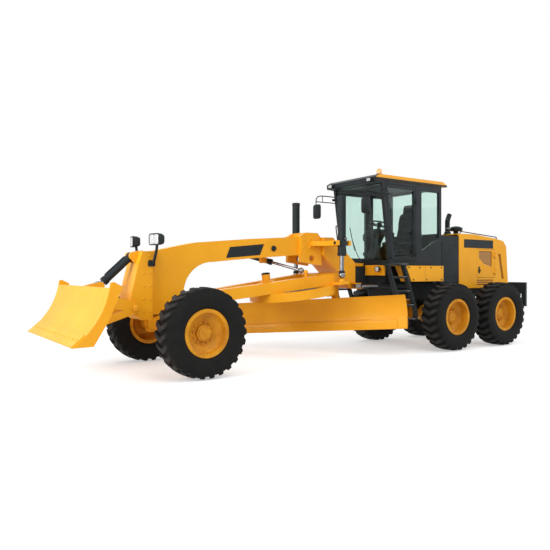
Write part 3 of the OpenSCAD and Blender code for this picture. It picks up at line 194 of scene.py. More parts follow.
def tube(name, knots, radius, look, body, count=24, around=12):
    # a circle carried along a smooth path through the knots, square to it at each point
    path = smoothPath(knots, count)
    along = np.gradient(path, axis=0)
    along /= np.linalg.norm(along, axis=1)[:, None]
    hint = np.array([0, 0, 1.0]) if abs(along[:, 2]).max() < 0.9 else np.array([0.31, 0.95, 0.07])
    a = np.cross(hint, along)
    a /= np.linalg.norm(a, axis=1)[:, None]
    b = np.cross(along, a)
    t = np.arange(around) * 2 * math.pi / around
    ring = np.cos(t)[None, :, None] * a[:, None, :] + np.sin(t)[None, :, None] * b[:, None, :]
    points = (path[:, None, :] + radius * ring).reshape(-1, 3)
    faces = gridFaces(count, around, wrapCols=True)[:, ::-1]
    return putMesh(name, (points, faces, endCaps(count, around)), look, body)


def sidePlate(name, outline, y, s, thick, look, body, bevel=0.002):
    # a plate on a left or right face: outline (x, z) in the row frame, its outer face at y + thick
    spots = np.asarray(outline, float)
    middle = (spots.min(0) + spots.max(0)) / 2
    axes = np.array([[1.0, 0, 0], [0, 0, 1.0], [0, s, 0]])
    ring = spots - middle
    area = np.sum(ring[:, 0] * np.roll(ring[:, 1], -1) - np.roll(ring[:, 0], -1) * ring[:, 1])
    if area * s > 0:
        ring = ring[::-1]
    levels = [(0, 0), (0, thick - bevel), (bevel, thick)]
    return putMesh(name, stacked(ring, levels, (middle[0], s * y, middle[1]), axes), look, body, crease=20)


def outlineAt(base, *corners):
    # an outline (x, z) whose x is measured forward from the base
    return [(base + x, z) for x, z in corners]


def oblong(x0, z0, x1, z1, base=tandem):
    # a rectangle between two of its corners
    return outlineAt(base, (x0, z0), (x1, z0), (x1, z1), (x0, z1))


def atTandem(x, y, z):
    # a place whose x is measured forward from the middle of the tandem
    return (tandem + x, y, z)


def sideRun(y, *knots):
    # places in one upright plane, from (x, z) knots measured forward from the tandem
    return [(tandem + x, y, z) for x, z in knots]


def grid(xs, ys, zs):
    # every place that the three lists of numbers give together
    return [(x, y, z) for x in xs for y in ys for z in zs]


def handRun(s, *knots):
    # places on the left or the right, from (x, y, z) knots of the left side measured forward from the tandem
    return [(tandem + x, s * y, z) for x, y, z in knots]


# shader tools
def mathWith(kind, flip=False):
    # an operator between a wire and a wire or number, which adds one Math node
    return lambda wire, other: wire.sum(kind, other, flip)


class Wire:
    # a socket that adds Math nodes when it is used in an expression
    def __init__(self, web, socket):
        self.web = web
        self.socket = socket

    def sum(self, kind, other, flip=False):
        pair = (other, self) if flip else (self, other)
        return self.web.add("ShaderNodeMath", {"operation": kind}, {0: pair[0], 1: pair[1]})

    __add__ = mathWith("ADD")
    __radd__ = mathWith("ADD", True)
    __sub__ = mathWith("SUBTRACT")
    __rsub__ = mathWith("SUBTRACT", True)
    __mul__ = mathWith("MULTIPLY")
    __rmul__ = mathWith("MULTIPLY", True)
    __truediv__ = mathWith("DIVIDE")
    __rtruediv__ = mathWith("DIVIDE", True)
    __pow__ = mathWith("POWER")
    __rpow__ = mathWith("POWER", True)


class Web:
    # the nodes of a new material, whose Principled shader is already wired, or of a world
    def __init__(self, name, world=None):
        self.owner = world or bpy.data.materials.new(name)
        self.owner.use_nodes = True
        self.tree = self.owner.node_tree
        self.nodes = self.tree.nodes

    def add(self, kind, settings=None, links=None, out=0):
        # one node: its settings first, then the values or links of its sockets
        node = self.nodes.new(kind)
        for key, value in (settings or {}).items():
            setattr(node, key, value)
        for key, value in (links or {}).items():
            self.feed(node.inputs[key], value)
        return Wire(self, node.outputs[out]) if len(node.outputs) else None

    def feed(self, socket, value):
        if isinstance(value, Wire):
            self.tree.links.new(value.socket, socket)
        elif isinstance(value, (tuple, list)) and len(value) == 3 and socket.type == "RGBA":
            socket.default_value = (*value, 1)
        else:
            socket.default_value = value

    def set(self, **values):
        for key, value in values.items():
            self.feed(self.nodes["Principled BSDF"].inputs[key.replace("_", " ")], value)
        return self.owner

    def where(self):
        return self.add("ShaderNodeTexCoord", out="Object")

    def math(self, kind, value):
        return self.add("ShaderNodeMath", {"operation": kind}, {0: value})

    def noise(self, scale, detail=3, rough=0.55, stretch=None):
        spot = self.where()
        if stretch:
            spot = self.add("ShaderNodeMapping", {}, {"Vector": spot, "Scale": stretch})
        links = {"Vector": spot, "Scale": scale, "Detail": detail, "Roughness": rough}
        return self.add("ShaderNodeTexNoise", {}, links)

    def waves(self, way, scale, distortion=0.0):
        links = {"Vector": self.where(), "Scale": scale, "Distortion": distortion}
        return self.add("ShaderNodeTexWave", {"wave_type": "BANDS", "bands_direction": way}, links)

    def blend(self, factor, low, high):
        links = {"Factor": factor, "A": low, "B": high}
        return self.add("ShaderNodeMix", {"data_type": "RGBA"}, links, "Result")

    def range(self, value, low, high):
        links = {"Value": value, "From Min": low, "From Max": high}
        return self.add("ShaderNodeMapRange", {"clamp": True}, links)

    def axis(self, letter):
        return self.add("ShaderNodeSeparateXYZ", {}, {"Vector": self.where()}, letter)

    def seen(self):
        # 1 for a ray that comes straight from the camera, off a mirror or through glass
        kinds = ("Is Camera Ray", "Is Glossy Ray", "Is Transmission Ray")
        rays = [self.add("ShaderNodeLightPath", out=kind) for kind in kinds]
        return rays[0].sum("MAXIMUM", rays[1]).sum("MAXIMUM", rays[2])

    def bump(self, height, strength, distance, rounding=0.0):
        links = {"Height": height, "Strength": strength, "Distance": distance}
        if rounding:
            links["Normal"] = self.add("ShaderNodeBevel", {"samples": 4}, {"Radius": rounding})
        return self.add("ShaderNodeBump", {}, links)


def paintFinish(name, look):
    # sprayed paint: faint cloudy tone, dust that gathers low down, and a fine orange peel
    web = Web(name)
    cloud = web.noise(look["cloudScale"], 4)
    tone = web.blend(web.range(cloud, 0.35, 0.65), look["deep"], look["colour"])
    speck = web.noise(38, 5, 0.7)
    low = web.range(web.axis("Z"), look["dustTop"], 0.15)
    dust = low * web.range(speck, 0.42, 0.72) * look["dust"]
    rough = look["rough"] + 0.1 * web.range(web.noise(7, 3), 0.3, 0.7) + 0.25 * dust
    peel = web.bump(web.noise(420, 2, 0.5), look["peel"], 0.001, look["rounding"])
    return web.set(Base_Color=web.blend(dust, tone, look["dustColour"]), Roughness=rough, Metallic=0.0,
                   Coat_Weight=look["coat"], Specular_IOR_Level=look["shine"], Normal=peel)


yellowLook = {"colour": (0.86, 0.395, 0.014), "deep": (0.81, 0.345, 0.01), "cloudScale": 1.6, "dust": 0.35,
              "dustTop": 1.0, "dustColour": (0.42, 0.27, 0.1), "shine": 0.2, "rough": 0.36, "coat": 0.06,
              "peel": 0.05, "rounding": 0.006}
darkLook = {"colour": (0.021, 0.027, 0.03), "deep": (0.015, 0.019, 0.021), "cloudScale": 2.2, "dust": 0.3,
            "dustTop": 1.2, "dustColour": (0.1, 0.085, 0.065), "shine": 0.14, "rough": 0.42, "coat": 0.0,
            "peel": 0.08, "rounding": 0.005}
# rims: a darker copy of the yellow with more and darker dust, partly real dust and partly painted shade of
# the wheel dishes
rimLook = dict(yellowLook, colour=(0.76, 0.33, 0.012), deep=(0.55, 0.215, 0.008), cloudScale=4.5, dust=0.75,
               dustTop=1.5, dustColour=(0.29, 0.122, 0.018), rough=0.42, coat=0.03)
# the greys on the lug tops are partly road wear, partly a painted highlight of the light from above
rubberLook = {"wall": ((0.0058, 0.0062, 0.0058), (0.0105, 0.0105, 0.01)), "gap": (0.0065, 0.0066, 0.0063),
              "worn": ((0.021, 0.0208, 0.0202), (0.044, 0.0434, 0.042)), "treadHalf": (0.198, 0.165),
              "lugReach": (0.646, 0.668)}


def tyreFinish(look):
    # rubber: near-black walls, lug tops greyed partly by road wear and partly as a painted highlight of the
    # light from above, dark gaps between them, and fine pores
    # the tread lies near the wheel's middle plane, and the way out from the nearest axle tells lug from gap
    web = Web("tyreRubber")
    grey = web.noise(9, 4, 0.6)
    patch = web.range(grey, 0.35, 0.7)
    away = web.math("ABSOLUTE", web.axis("Y")) - place["track"]
    tread = web.range(web.math("ABSOLUTE", away), *look["treadHalf"])
    flat = web.add("ShaderNodeVectorMath", {"operation": "MULTIPLY"}, {0: web.where(), 1: (1, 0, 1)})
    axles = [(x, 0, place["tyreRadius"]) for x in wheels.values()]
    reach = [web.add("ShaderNodeVectorMath", {"operation": "DISTANCE"}, {0: flat, 1: axle}, "Value")
             for axle in axles]
    nearest = reach[0].sum("MINIMUM", reach[1]).sum("MINIMUM", reach[2])
    # lug tops past the lug reach take the grey: part road wear, part painted highlight
    worn = web.blend(web.range(nearest, *look["lugReach"]), look["gap"], web.blend(patch, *look["worn"]))
    tone = web.blend(tread, web.blend(patch, *look["wall"]), worn)
    return web.set(Base_Color=tone, Roughness=0.66 + 0.16 * grey, Metallic=0.0, Specular_IOR_Level=0.14,
                   Normal=web.bump(web.noise(260, 3, 0.6), 0.25, 0.0015))


def glassFinish():
    # clear pane with a faint cool tint and a film that softens it in places
    web = Web("paleGlass")
    film = web.range(web.noise(3, 3), 0.4, 0.7)
    return web.set(Base_Color=(0.74, 0.87, 0.825), Roughness=0.03 * film, IOR=1.2, Transmission_Weight=1.0)


def chromeFinish():
    # polished rod with fine turning marks round it
    web = Web("rodChrome")
    ring = web.noise(300, 2, 0.5, stretch=(0.2, 0.2, 4))
    # the base colour is set far below polished chrome: painted shade, as the rods sit in shade
    return web.set(Base_Color=(0.21, 0.215, 0.225), Metallic=1.0, Roughness=0.14 + 0.1 * ring,
                   Normal=web.bump(ring, 0.03, 0.0005))


def metalFinish(name, look):
    # bare steel under a little grease, or sand-cast iron: one grain for tone, roughness and bump
    web = Web(name)
    grain = web.noise(*look["grain"])
    tone = web.blend(web.range(grain, *look["span"]), *look["tones"])
    rough = look["rough"][0] + look["rough"][1] * grain
    return web.set(Base_Color=tone, Metallic=look["metal"], Roughness=rough,
                   Normal=web.bump(grain, *look["bump"]))


steelLook = {"grain": (60, 4, 0.7), "span": (0.35, 0.7), "metal": 0.9, "rough": (0.32, 0.2),
             "tones": ((0.2, 0.2, 0.205), (0.38, 0.38, 0.385)), "bump": (0.1, 0.001, 0.003)}
ironLook = {"grain": (120, 5, 0.7), "span": (0.3, 0.7), "metal": 0.3, "rough": (0.55, 0.15),
            "tones": ((0.05, 0.053, 0.056), (0.1, 0.103, 0.108)), "bump": (0.35, 0.003, 0.006)}


def trimFinish():
    # moulded plastic with a pebbled grain
    web = Web("grainedTrim")
    grain = web.add("ShaderNodeTexVoronoi", {}, {"Vector": web.where(), "Scale": 260.0})
    tone = web.blend(web.range(grain, 0.0, 0.6), (0.012, 0.014, 0.015), (0.024, 0.026, 0.028))
    return web.set(Base_Color=tone, Roughness=0.55 + 0.15 * grain, Specular_IOR_Level=0.25,
                   Normal=web.bump(grain, 0.2, 0.001, 0.003))


def lensFinish(name, colour, glow):
    # ribbed lens: upright flutes in the bump, a little of its own colour as glow
    web = Web(name)
    flute = web.waves("Y", 28.0)
    tone = web.blend(web.range(flute, 0.2, 0.9), tuple(0.72 * c for c in colour), colour)
    return web.set(Base_Color=tone, Roughness=0.12 + 0.08 * flute, Coat_Weight=0.5, Emission_Color=colour,
                   Emission_Strength=glow, Normal=web.bump(flute, 0.25, 0.002))


def perforatedFinish():
    # punched screen: round holes on a square pitch, drawn only in colour and bump, dark in the holes as
    # painted shade of the inside behind them
    web = Web("punchedScreen")
    pitch = 0.026
    a = web.math("FRACT", web.axis("X") / pitch) - 0.5
    b = web.math("FRACT", web.axis("Z") / pitch) - 0.5
    hole = web.range((a * a + b * b) ** 0.5, 0.3, 0.36)
    # the dark colour in the holes is painted shade
    tone = web.blend(hole, (0.06, 0.028, 0.01), (0.5, 0.235, 0.045))
    return web.set(Base_Color=tone, Roughness=0.5 + 0.1 * web.noise(40), Metallic=0.0,
                   Normal=web.bump(hole, 0.5, 0.003))


def clothFinish():
    # woven seat cloth: warp and weft threads crossing, with a slow change of tone
    web = Web("seatCloth")
    thread = web.waves("Y", 90.0, 0.6) * web.waves("DIAGONAL", 90.0, 0.6)
    tone = web.blend(web.range(thread, 0.1, 0.7), (0.01, 0.012, 0.014), (0.026, 0.03, 0.034))
    return web.set(Base_Color=tone, Roughness=0.8 + 0.1 * web.noise(12), Sheen_Weight=0.06,
                   Specular_IOR_Level=0.2, Normal=web.bump(thread, 0.35, 0.0015))


def treadFinish():
    # non-slip plate: a grid of short raised bars, scuffed
    web = Web("treadPlate")
    bar = web.range(web.waves("X", 14.0) * web.waves("Y", 14.0), 0.45, 0.6)
    tone = web.blend(bar, (0.2, 0.205, 0.21), (0.42, 0.43, 0.44))
    return web.set(Base_Color=tone, Metallic=0.7, Roughness=0.35 + 0.25 * web.noise(30, 4, 0.7),
                   Normal=web.bump(bar, 0.6, 0.003))


def mirrorFinish():
    # silvered glass with a few smears
    web = Web("mirrorGlass")
    smear = web.range(web.noise(9, 3), 0.5, 0.7)
    return web.set(Base_Color=(0.8, 0.82, 0.83), Metallic=1.0, Roughness=0.02 + 0.05 * smear)


# each look is a finish and the name of its material slot
yellow = (paintFinish("yellowPaint", yellowLook), "yellow_paint")
rimYellow = (paintFinish("rimPaint", rimLook), "yellow_paint")
dark = (paintFinish("darkPaint", darkLook), "dark_paint")
rubber = (tyreFinish(rubberLook), "tyre")
pane = (glassFinish(), "glass")
chrome = (chromeFinish(), "rod_chrome")
steel = (metalFinish("greasedSteel", steelLook), "steel")
iron = (metalFinish("engineIron", ironLook), "cast_iron")
trim = (trimFinish(), "trim")
clearLamp = (lensFinish("clearLens", (0.6, 0.61, 0.6), 0.02), "lamp")
amberLamp = (lensFinish("amberLens", (0.85, 0.28, 0.02), 0.15), "lamp")
beaconLamp = (lensFinish("beaconLens", (0.86, 0.42, 0.14), 0.25), "lamp")
redLamp = (lensFinish("redLens", (0.55, 0.02, 0.015), 0.05), "lamp")
screen = (perforatedFinish(), "dark_paint")
cloth = (clothFinish(), "trim")
treadSteel = (treadFinish(), "steel")
mirror = (mirrorFinish(), "glass")

cadLooks = (yellow, dark, chrome, steel, iron, trim, clearLamp, pane, rubber)
slotFinish = {slotName: finish for finish, slotName in cadLooks}
for part in frame["record"]["subparts"]:
    solid = nodes[part["node"]]
    # rims take the darker rim paint, which is partly painted shade
    isRim = part["node"].startswith("rim_")
    solid.data.materials.clear()
    solid.data.materials.append(rimYellow[0] if isRim else slotFinish[part["material_slot"]])
print("finishes made and put on the solids")

# camera, light and floor
view = {"place": (7.191, 8.779, 1.561), "pitch": -0.27, "yaw": -124.33, "lens": 38.26, "sensor": 36,
        "reach": 200}
camera = bpy.data.objects.new("photoView", bpy.data.cameras.new("photoView"))
camera.data.lens = view["lens"]
camera.data.sensor_width = view["sensor"]
camera.data.clip_end = view["reach"]
camera.location = view["place"]
camera.rotation_euler = (math.radians(90 + view["pitch"]), 0, math.radians(view["yaw"] - 90))
bpy.context.scene.collection.objects.link(camera)
bpy.context.scene.camera = camera
bpy.context.scene.view_settings.view_transform = "Standard"

# each soft box: its place, what it points at, its width and its power
softBoxes = [((3.0, 9.0, 9.5), (0, 0, 1.0), 9.0, 560), ((12.0, 1.5, 4.5), (1.0, 0, 1.2), 7.0, 980),
             ((-9.0, 6.0, 7.0), (-2.0, 0, 1.4), 7.0, 320), ((-2.0, -9.0, 8.0), (0, 0, 1.5), 8.0, 300)]
for number, (spot, aim, size, power) in enumerate(softBoxes):
    lamp = bpy.data.objects.new("softBox%d" % number, bpy.data.lights.new("softBox%d" % number, "AREA"))
    lamp.data.size = size
    lamp.data.energy = power
    lamp.location = spot
    axes = axesFor(np.array(spot) - np.array(aim))
    lamp.rotation_euler = mathutils.Matrix(axes.T.tolist()).to_euler()
    bpy.context.scene.collection.objects.link(lamp)

# a white world that is dimmer as a light than as it is seen
worldLook = {"light": 0.48, "seen": 1.0, "colour": (1, 1, 1)}
world = bpy.data.worlds.new("studio")
bpy.context.scene.world = world
web = Web("studio", world)
web.nodes.clear()
span = {"Value": web.seen(), "To Min": worldLook["light"], "To Max": worldLook["seen"]}
strength = web.add("ShaderNodeMapRange", {}, span)
sky = web.add("ShaderNodeBackground", {}, {"Color": worldLook["colour"], "Strength": strength})
web.add("ShaderNodeOutputWorld", {}, {"Surface": sky})

# the floor fades out round the machine and is clear from below
floorLook = {"half": 26.0, "low": -0.002, "fade": (6.8, 10.5), "colour": (0.8, 0.8, 0.8), "lift": 0.42}
web = Web("studioFloor")
far = web.add("ShaderNodeVectorMath", {"operation": "LENGTH"}, {0: web.where()}, "Value")
under = web.add("ShaderNodeNewGeometry", out="Backfacing")
hidden = web.range(far, *floorLook["fade"]).sum("MAXIMUM", under)
web.set(Base_Color=floorLook["colour"], Roughness=0.9, Specular_IOR_Level=0.0,
        Emission_Strength=floorLook["lift"], Emission_Color=web.blend(web.seen(), (0, 0, 0), (1, 1, 1)))
solidFloor = Wire(web, web.nodes["Principled BSDF"].outputs[0])
clearFloor = web.add("ShaderNodeBsdfTransparent")
mixed = web.add("ShaderNodeMixShader", {}, {0: hidden, 1: solidFloor, 2: clearFloor})
web.feed(web.nodes["Material Output"].inputs["Surface"], mixed)
floorMesh = bpy.data.meshes.new("floor")
half = floorLook["half"]
corners = [(x * half, y * half, floorLook["low"]) for x, y in ((-1, -1), (1, -1), (1, 1), (-1, 1))]
floorMesh.from_pydata(corners, [], [(0, 1, 2, 3)])
floorMesh.materials.append(web.owner)
floor = bpy.data.objects.new("floor", floorMesh)
bpy.context.scene.collection.objects.link(floor)
print("camera, light and floor set")

# tyres and wheel nuts
tyreLook = {"width": 0.445, "lugHeight": 0.034, "lugs": 26, "lean": 8.0, "treadFrom": 0.57, "rise": 0.04,
            "shoulder": 0.024}
nutLook = {"count": 12, "circle": 0.158, "start": 0.13, "rimFace": 0.178, "thick": 0.02, "radius": 0.016,
           "height": 0.022, "dish": {"front": 0.13, "mid": 0.185, "rear": 0.185}}


def lugTyre(name, centre, outward, body):
    # a section turned about the axle: point (r, h) of lug k stands at angle 90 deg + pitch (k + share)
    # + lean |h| / shoulder, so each lug is a chevron whose outer ends trail, and it rises by the lug's
    # height where the section is tread
    look = tyreLook
    half = look["width"] / 2
    side = np.array([(0.3195, 0.1), (0.3195, 0.1595), (0.361, 0.1595), (0.368, 0.18), (0.376, 0.19),
                     (0.392, 0.197), (0.41, 0.202), (0.414, 0.2065), (0.43, 0.2095), (0.436, 0.208),
                     (0.47, half - 0.004), (0.514, half), (0.545, half - 0.002), (0.572, half - 0.008),
                     (0.594, half - 0.014), (0.61, half - 0.02), (0.621, half - 0.03),
                     (0.629, half - 0.06), (0.635, 0.11), (0.639, 0.055), (0.64, 0.012)])
    r, h = np.concatenate([side, side[::-1] * np.array([1, -1])]).T
    rise = np.clip((r - look["treadFrom"]) / look["rise"], 0, 1)
    lean = math.radians(look["lean"]) * np.minimum(np.abs(h) / (half - look["shoulder"]), 1)
    share = np.array([-0.31, -0.275, -0.225, -0.185, 0, 0.185, 0.225, 0.275, 0.31, 0.5])
    stand = np.array([0, 0.5, 0.93, 1, 1, 1, 0.93, 0.5, 0, 0])
    pitch = 2 * math.pi / look["lugs"]
    t = (np.arange(look["lugs"])[:, None] + share).reshape(-1) * pitch + math.pi / 2
    angle = t[:, None] + lean
    radius = r + np.tile(stand, look["lugs"])[:, None] * look["lugHeight"] * rise
    across = np.broadcast_to(centre[1] + outward * h, radius.shape)
    points = np.stack([centre[0] + radius * np.cos(angle), across, centre[2] + radius * np.sin(angle)], -1)
    faces = gridFaces(points.shape[0], points.shape[1], wrapRows=True, wrapCols=True)
    if outward > 0:
        faces = faces[:, ::-1]
    return putMesh(name, (points, faces, []), rubber, body, crease=32)


for row, x in wheels.items():
    for s, side in bothSides:
        wheel = row + side
        body = "wheel_" + wheel
        ring = lugTyre("tyreTread_" + wheel, (x, s * place["track"], place["tyreRadius"]), s, body)
        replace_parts(ring, "tyre_" + wheel)
        face = nutLook["rimFace"] - nutLook["dish"][row] - nutLook["thick"]
        a = np.arange(nutLook["count"]) * 2 * math.pi / nutLook["count"] + nutLook["start"]
        spots = np.stack([x + nutLook["circle"] * np.cos(a), np.full(len(a), s * (place["track"] + face)),
                          place["tyreRadius"] + nutLook["circle"] * np.sin(a)], -1)
        boltHeads("wheelNuts_" + wheel, spots, (0, s, 0), rimYellow, body, nutLook["radius"],
                  nutLook["height"])
print("tyres and wheel nuts made")


# cab inside
def pad(name, centre, size, axes, channels=()):
    # superquadric cushion: x = a C(v) C(u), y = b C(v) S(u), z = c S(v), each cosine and sine raised to a low
    # power, crowned over its middle and drawn in along sewn channels across its length
    look = {"crown": 0.18, "around": 96, "over": 49, "seamDeep": 0.012, "seamWide": 0.007}
    u = np.linspace(0, 2 * math.pi, look["around"], endpoint=False)[None, :]
    v = np.linspace(-math.pi / 2, math.pi / 2, look["over"])[:, None]

    def soft(wave, power):
        return np.sign(wave) * np.abs(wave) ** power

    flat = soft(np.cos(v), 0.42)
    x = size[0] / 2 * flat * soft(np.cos(u), 0.34)
    y = size[1] / 2 * flat * soft(np.sin(u), 0.34)
    z = size[2] / 2 * soft(np.sin(v), 0.62) * np.ones_like(u)
    middle = (1 - (2 * x / size[0]) ** 2) * (1 - (2 * y / size[1]) ** 2)
    z = z * (1 - look["crown"] + look["crown"] * np.sqrt(np.clip(middle, 0, 1)))
    for spot in channels:
        z = z - look["seamDeep"] * np.sign(z) * (z > 0) * np.exp(-((y - spot) / look["seamWide"]) ** 2)
    points = np.stack([x, y, z], -1).reshape(-1, 3) @ np.asarray(axes, float) + np.asarray(centre, float)
    faces = gridFaces(look["over"], look["around"], wrapCols=True)
    piece = putMesh(name, (points, faces, []), cloth, rear, crease=80)
    return piece


seatLook = {"x": 1.185, "foot": 1.76, "lean": 10.0, "cushion": (0.51, 0.5, 0.13), "back": (0.47, 0.66, 0.12),
            "headrest": (0.28, 0.2, 0.1), "arm": (0.34, 0.075, 0.06), "armY": 0.3, "postY": 0.06}
level = np.eye(3)
lean = math.radians(seatLook["lean"])
# the back's own axes: across the machine, up along the lean, and forward out of the pad
backAxes = np.array([[0, 1.0, 0], [-math.sin(lean), 0, math.cos(lean)], [math.cos(lean), 0, math.sin(lean)]])
bellows = [(0.02 if k % 2 else 0.0, 0.05 + 0.031 * k) for k in range(8)]
levels = [(0, 0), (0, 0.05)] + bellows + [(0, 0.33)]
shape = stacked(roundOutline(0.4, 0.34, 0.04), levels, atTandem(seatLook["x"], 0, seatLook["foot"]), level)
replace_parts(putMesh("seatSuspension", shape, trim, rear), "cab_interior")
pad("seatCushion", atTandem(seatLook["x"], 0, 2.155), seatLook["cushion"], level, (-0.15, 0.15))
pad("seatBack", atTandem(0.905, 0, 2.5), seatLook["back"], backAxes, (-0.18, 0.0, 0.18))
pad("seatHeadrest", atTandem(0.835, 0, 2.9), seatLook["headrest"], backAxes)
for s, name in ((1, "Left"), (-1, "Right")):
    y = s * seatLook["armY"]
    pad("seatArm" + name, atTandem(1.15, y, 2.4), seatLook["arm"], level)
    tube("seatArmPost" + name, sideRun(y, (0.98, 2.16), (0.99, 2.38)), 0.018, trim, rear, 4)
    y = s * seatLook["postY"]
    tube("headrestPost" + name, sideRun(y, (0.86, 2.74), (0.845, 2.86)), 0.008, chrome, rear, 4)

columnAxes = axesFor((-0.26, 0, 0.966), (0, 1, 0))
columnLevels = [(0.02, 0), (0, 0.02), (0, 0.1), (0.05, 0.22), (0.06, 0.42), (0.03, 0.58), (0.03, 0.66),
                (0.05, 0.69)]
shape = stacked(roundOutline(0.26, 0.3, 0.04), columnLevels, atTandem(1.9, 0, 1.77), columnAxes)
putMesh("steeringConsole", shape, trim, rear)
steerLook = {"tilt": 15, "radius": 0.19, "grip": 0.015, "spokes": 3}
tilt = math.radians(steerLook["tilt"])
wheelAxis = np.array([-math.sin(tilt), 0, math.cos(tilt)])
hub = np.array(atTandem(1.7, 0, 2.56))
rimProfile = circlePoints(steerLook["grip"], 20) + (steerLook["radius"], 0)
revolved("steeringWheel", rimProfile, hub, wheelAxis, trim, rear, closed=True)
hubProfile = [(0, -0.1), (0.035, -0.1), (0.035, -0.03), (0.05, -0.02), (0.05, 0.015), (0.035, 0.025),
              (0, 0.026)]
revolved("steeringHub", hubProfile, hub, wheelAxis, trim, rear)
spokeAxes = axesFor(wheelAxis)
for k in range(steerLook["spokes"]):
    a = 2 * math.pi * k / steerLook["spokes"] + 0.5
    out = spokeAxes[0] * math.cos(a) + spokeAxes[1] * math.sin(a)
    knots = [hub + 0.03 * out - 0.012 * wheelAxis, hub + 0.1 * out - 0.008 * wheelAxis, hub + 0.185 * out]
    tube("steeringSpoke%d" % k, knots, 0.01, trim, rear, 8)
knobProfile = [(0, -0.012), (0.011, -0.008), (0.016, 0.006), (0.014, 0.022), (0, 0.03)]
for s, name in ((1, "Left"), (-1, "Right")):
    block("leverBox" + name, atTandem(1.76, s * 0.2, 2.36), (0.16, 0.12, 0.14), trim, rear, 0.02, 0.008)
    for k in range(3):
        base = np.array([tandem + 1.72 + 0.045 * k, s * (0.19 + 0.01 * k), 2.43])
        tip = base + np.array([-0.05, s * 0.01, 0.15])
        tube("lever%s%d" % (name, k), [base, (base + tip) / 2, tip], 0.006, chrome, rear, 6, 8)
        revolved("leverKnob%s%d" % (name, k), knobProfile, tip, tip - base, trim, rear, 16)
block("floorMat", atTandem(1.42, 0, 1.764), (1.2, 1.24, 0.008), (treadSteel[0], "trim"), rear, 0.03, 0.003)
block("headliner", atTandem(1.48, 0, 3.318), (1.56, 1.28, 0.02), trim, rear, 0.04, 0.006, hint=(0, 1, 0))
print("cab inside made")

# hood, and the plates on the beam
hoodLook = {"side": 0.67, "end": tandem - 1.74, "doorBack": tandem - 1.235, "railY": 0.6, "beamSide": 0.16}
hornProfile = [(0, 0), (0.045, 0), (0.05, 0.012), (0.045, 0.03), (0.03, 0.036), (0.026, 0.028), (0, 0.026)]
for s, side in bothSides:
    out = (0, s, 0)
    door = "hood_door" + side
    back = hoodLook["doorBack"]
    window = outlineAt(back, (0.566, 2.03), (0.101, 2.03), (0.101, 1.68), (0.388, 1.744), (0.566, 1.875))
    sidePlate("hoodScreen" + side, window, 0.648, s, 0.004, screen, door, 0.001)
    sidePlate("hoodLatchPlate" + side, oblong(0.535, 1.535, 0.585, 1.685, back), hoodLook["side"], s, 0.006,
              dark, door)
    block("hoodLatch" + side, (back + 0.56, s * 0.684, 1.6), (0.03, 0.085, 0.016), dark, door, 0.008, 0.005,
          out, forward)
    slot = outlineAt(tandem, (-1.355, 1.985), (-1.46, 1.985), (-1.59, 1.4), (-1.485, 1.4))
    sidePlate("hoodSlotScreen" + side, slot, 0.637, s, 0.004, screen, rear, 0.001)
    sidePlate("hoodLouvreScreen" + side, oblong(-1.19, 1.265, -0.59, 1.42), 0.636, s, 0.004, screen, rear,
              0.001)
    sidePlate("hoodStrip" + side, oblong(-1.17, 2.092, -0.155, 2.275), hoodLook["side"], s, 0.004, dark,
              rear)
    rail = sideRun(s * hoodLook["railY"], (-0.1, 2.388), (-0.12, 2.425), (-0.17, 2.441), (-0.75, 2.404),
                   (-1.33, 2.364), (-1.38, 2.35), (-1.4, 2.3))
    tube("hoodRail" + side, rail, 0.011, dark, rear, 40)
    sidePlate("sectionHatch" + side, oblong(0.075, 1.47, 0.555, 2.2), 0.66, s, 0.006, dark, rear, 0.004)
    spots = grid((tandem + 0.11, tandem + 0.52), (s * 0.666,), (1.51, 1.84, 2.16))
    boltHeads("sectionBolts" + side, spots, out, dark, rear, 0.011, 0.008)
    badge = [(2.307, 1.802), (2.229, 1.989), (1.54, 2.059), (1.624, 1.864)]
    sidePlate("beamPlate" + side, badge, hoodLook["beamSide"], s, 0.005, dark, front)
    revolved("beamHorn" + side, hornProfile, (1.34, s * hoodLook["beamSide"], 1.985), out, dark, front, 32)
block("radiatorCore", (hoodLook["end"] + 0.2, 0, 1.72), (1.1, 0.66, 0.06), iron, rear, 0.02, 0.005, forward)
block("sectionTread", atTandem(0.32, 0, 2.335), (0.58, 1.2, 0.01), treadSteel, rear, 0.02, 0.003)
print("hood pieces made")

# stacks on the hood
stackLook = {"exhaust": (-0.065, 0.3, 2.39), "cleaner": (-0.35, 0.3, 2.39), "bend": 25, "radius": 0.053,
             "boltCircle": 0.077, "tip": (-0.068, 0, 0.44)}
stack = np.array(atTandem(*stackLook["exhaust"]))
bend = math.radians(stackLook["bend"])
pipe = stack + np.array([(0, 0, 0.02), (0, 0, 0.16), (0, 0, 0.27), (-0.012, 0, 0.325), (-0.036, 0, 0.38),
                         stackLook["tip"]])
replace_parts(tube("exhaustPipe", pipe, stackLook["radius"], dark, rear, 36, 32), "exhaust_and_intake")
flange = [(0, 0), (0.088, 0), (0.088, 0.014), (0.07, 0.018), (0.068, 0.06), (0.056, 0.066), (0, 0.066)]
revolved("exhaustFlange", flange, stack, up, dark, rear, 40)
mouthWay = np.array([-math.sin(bend), 0, math.cos(bend)])
mouth = stack + np.array(stackLook["tip"]) + 0.062 * mouthWay
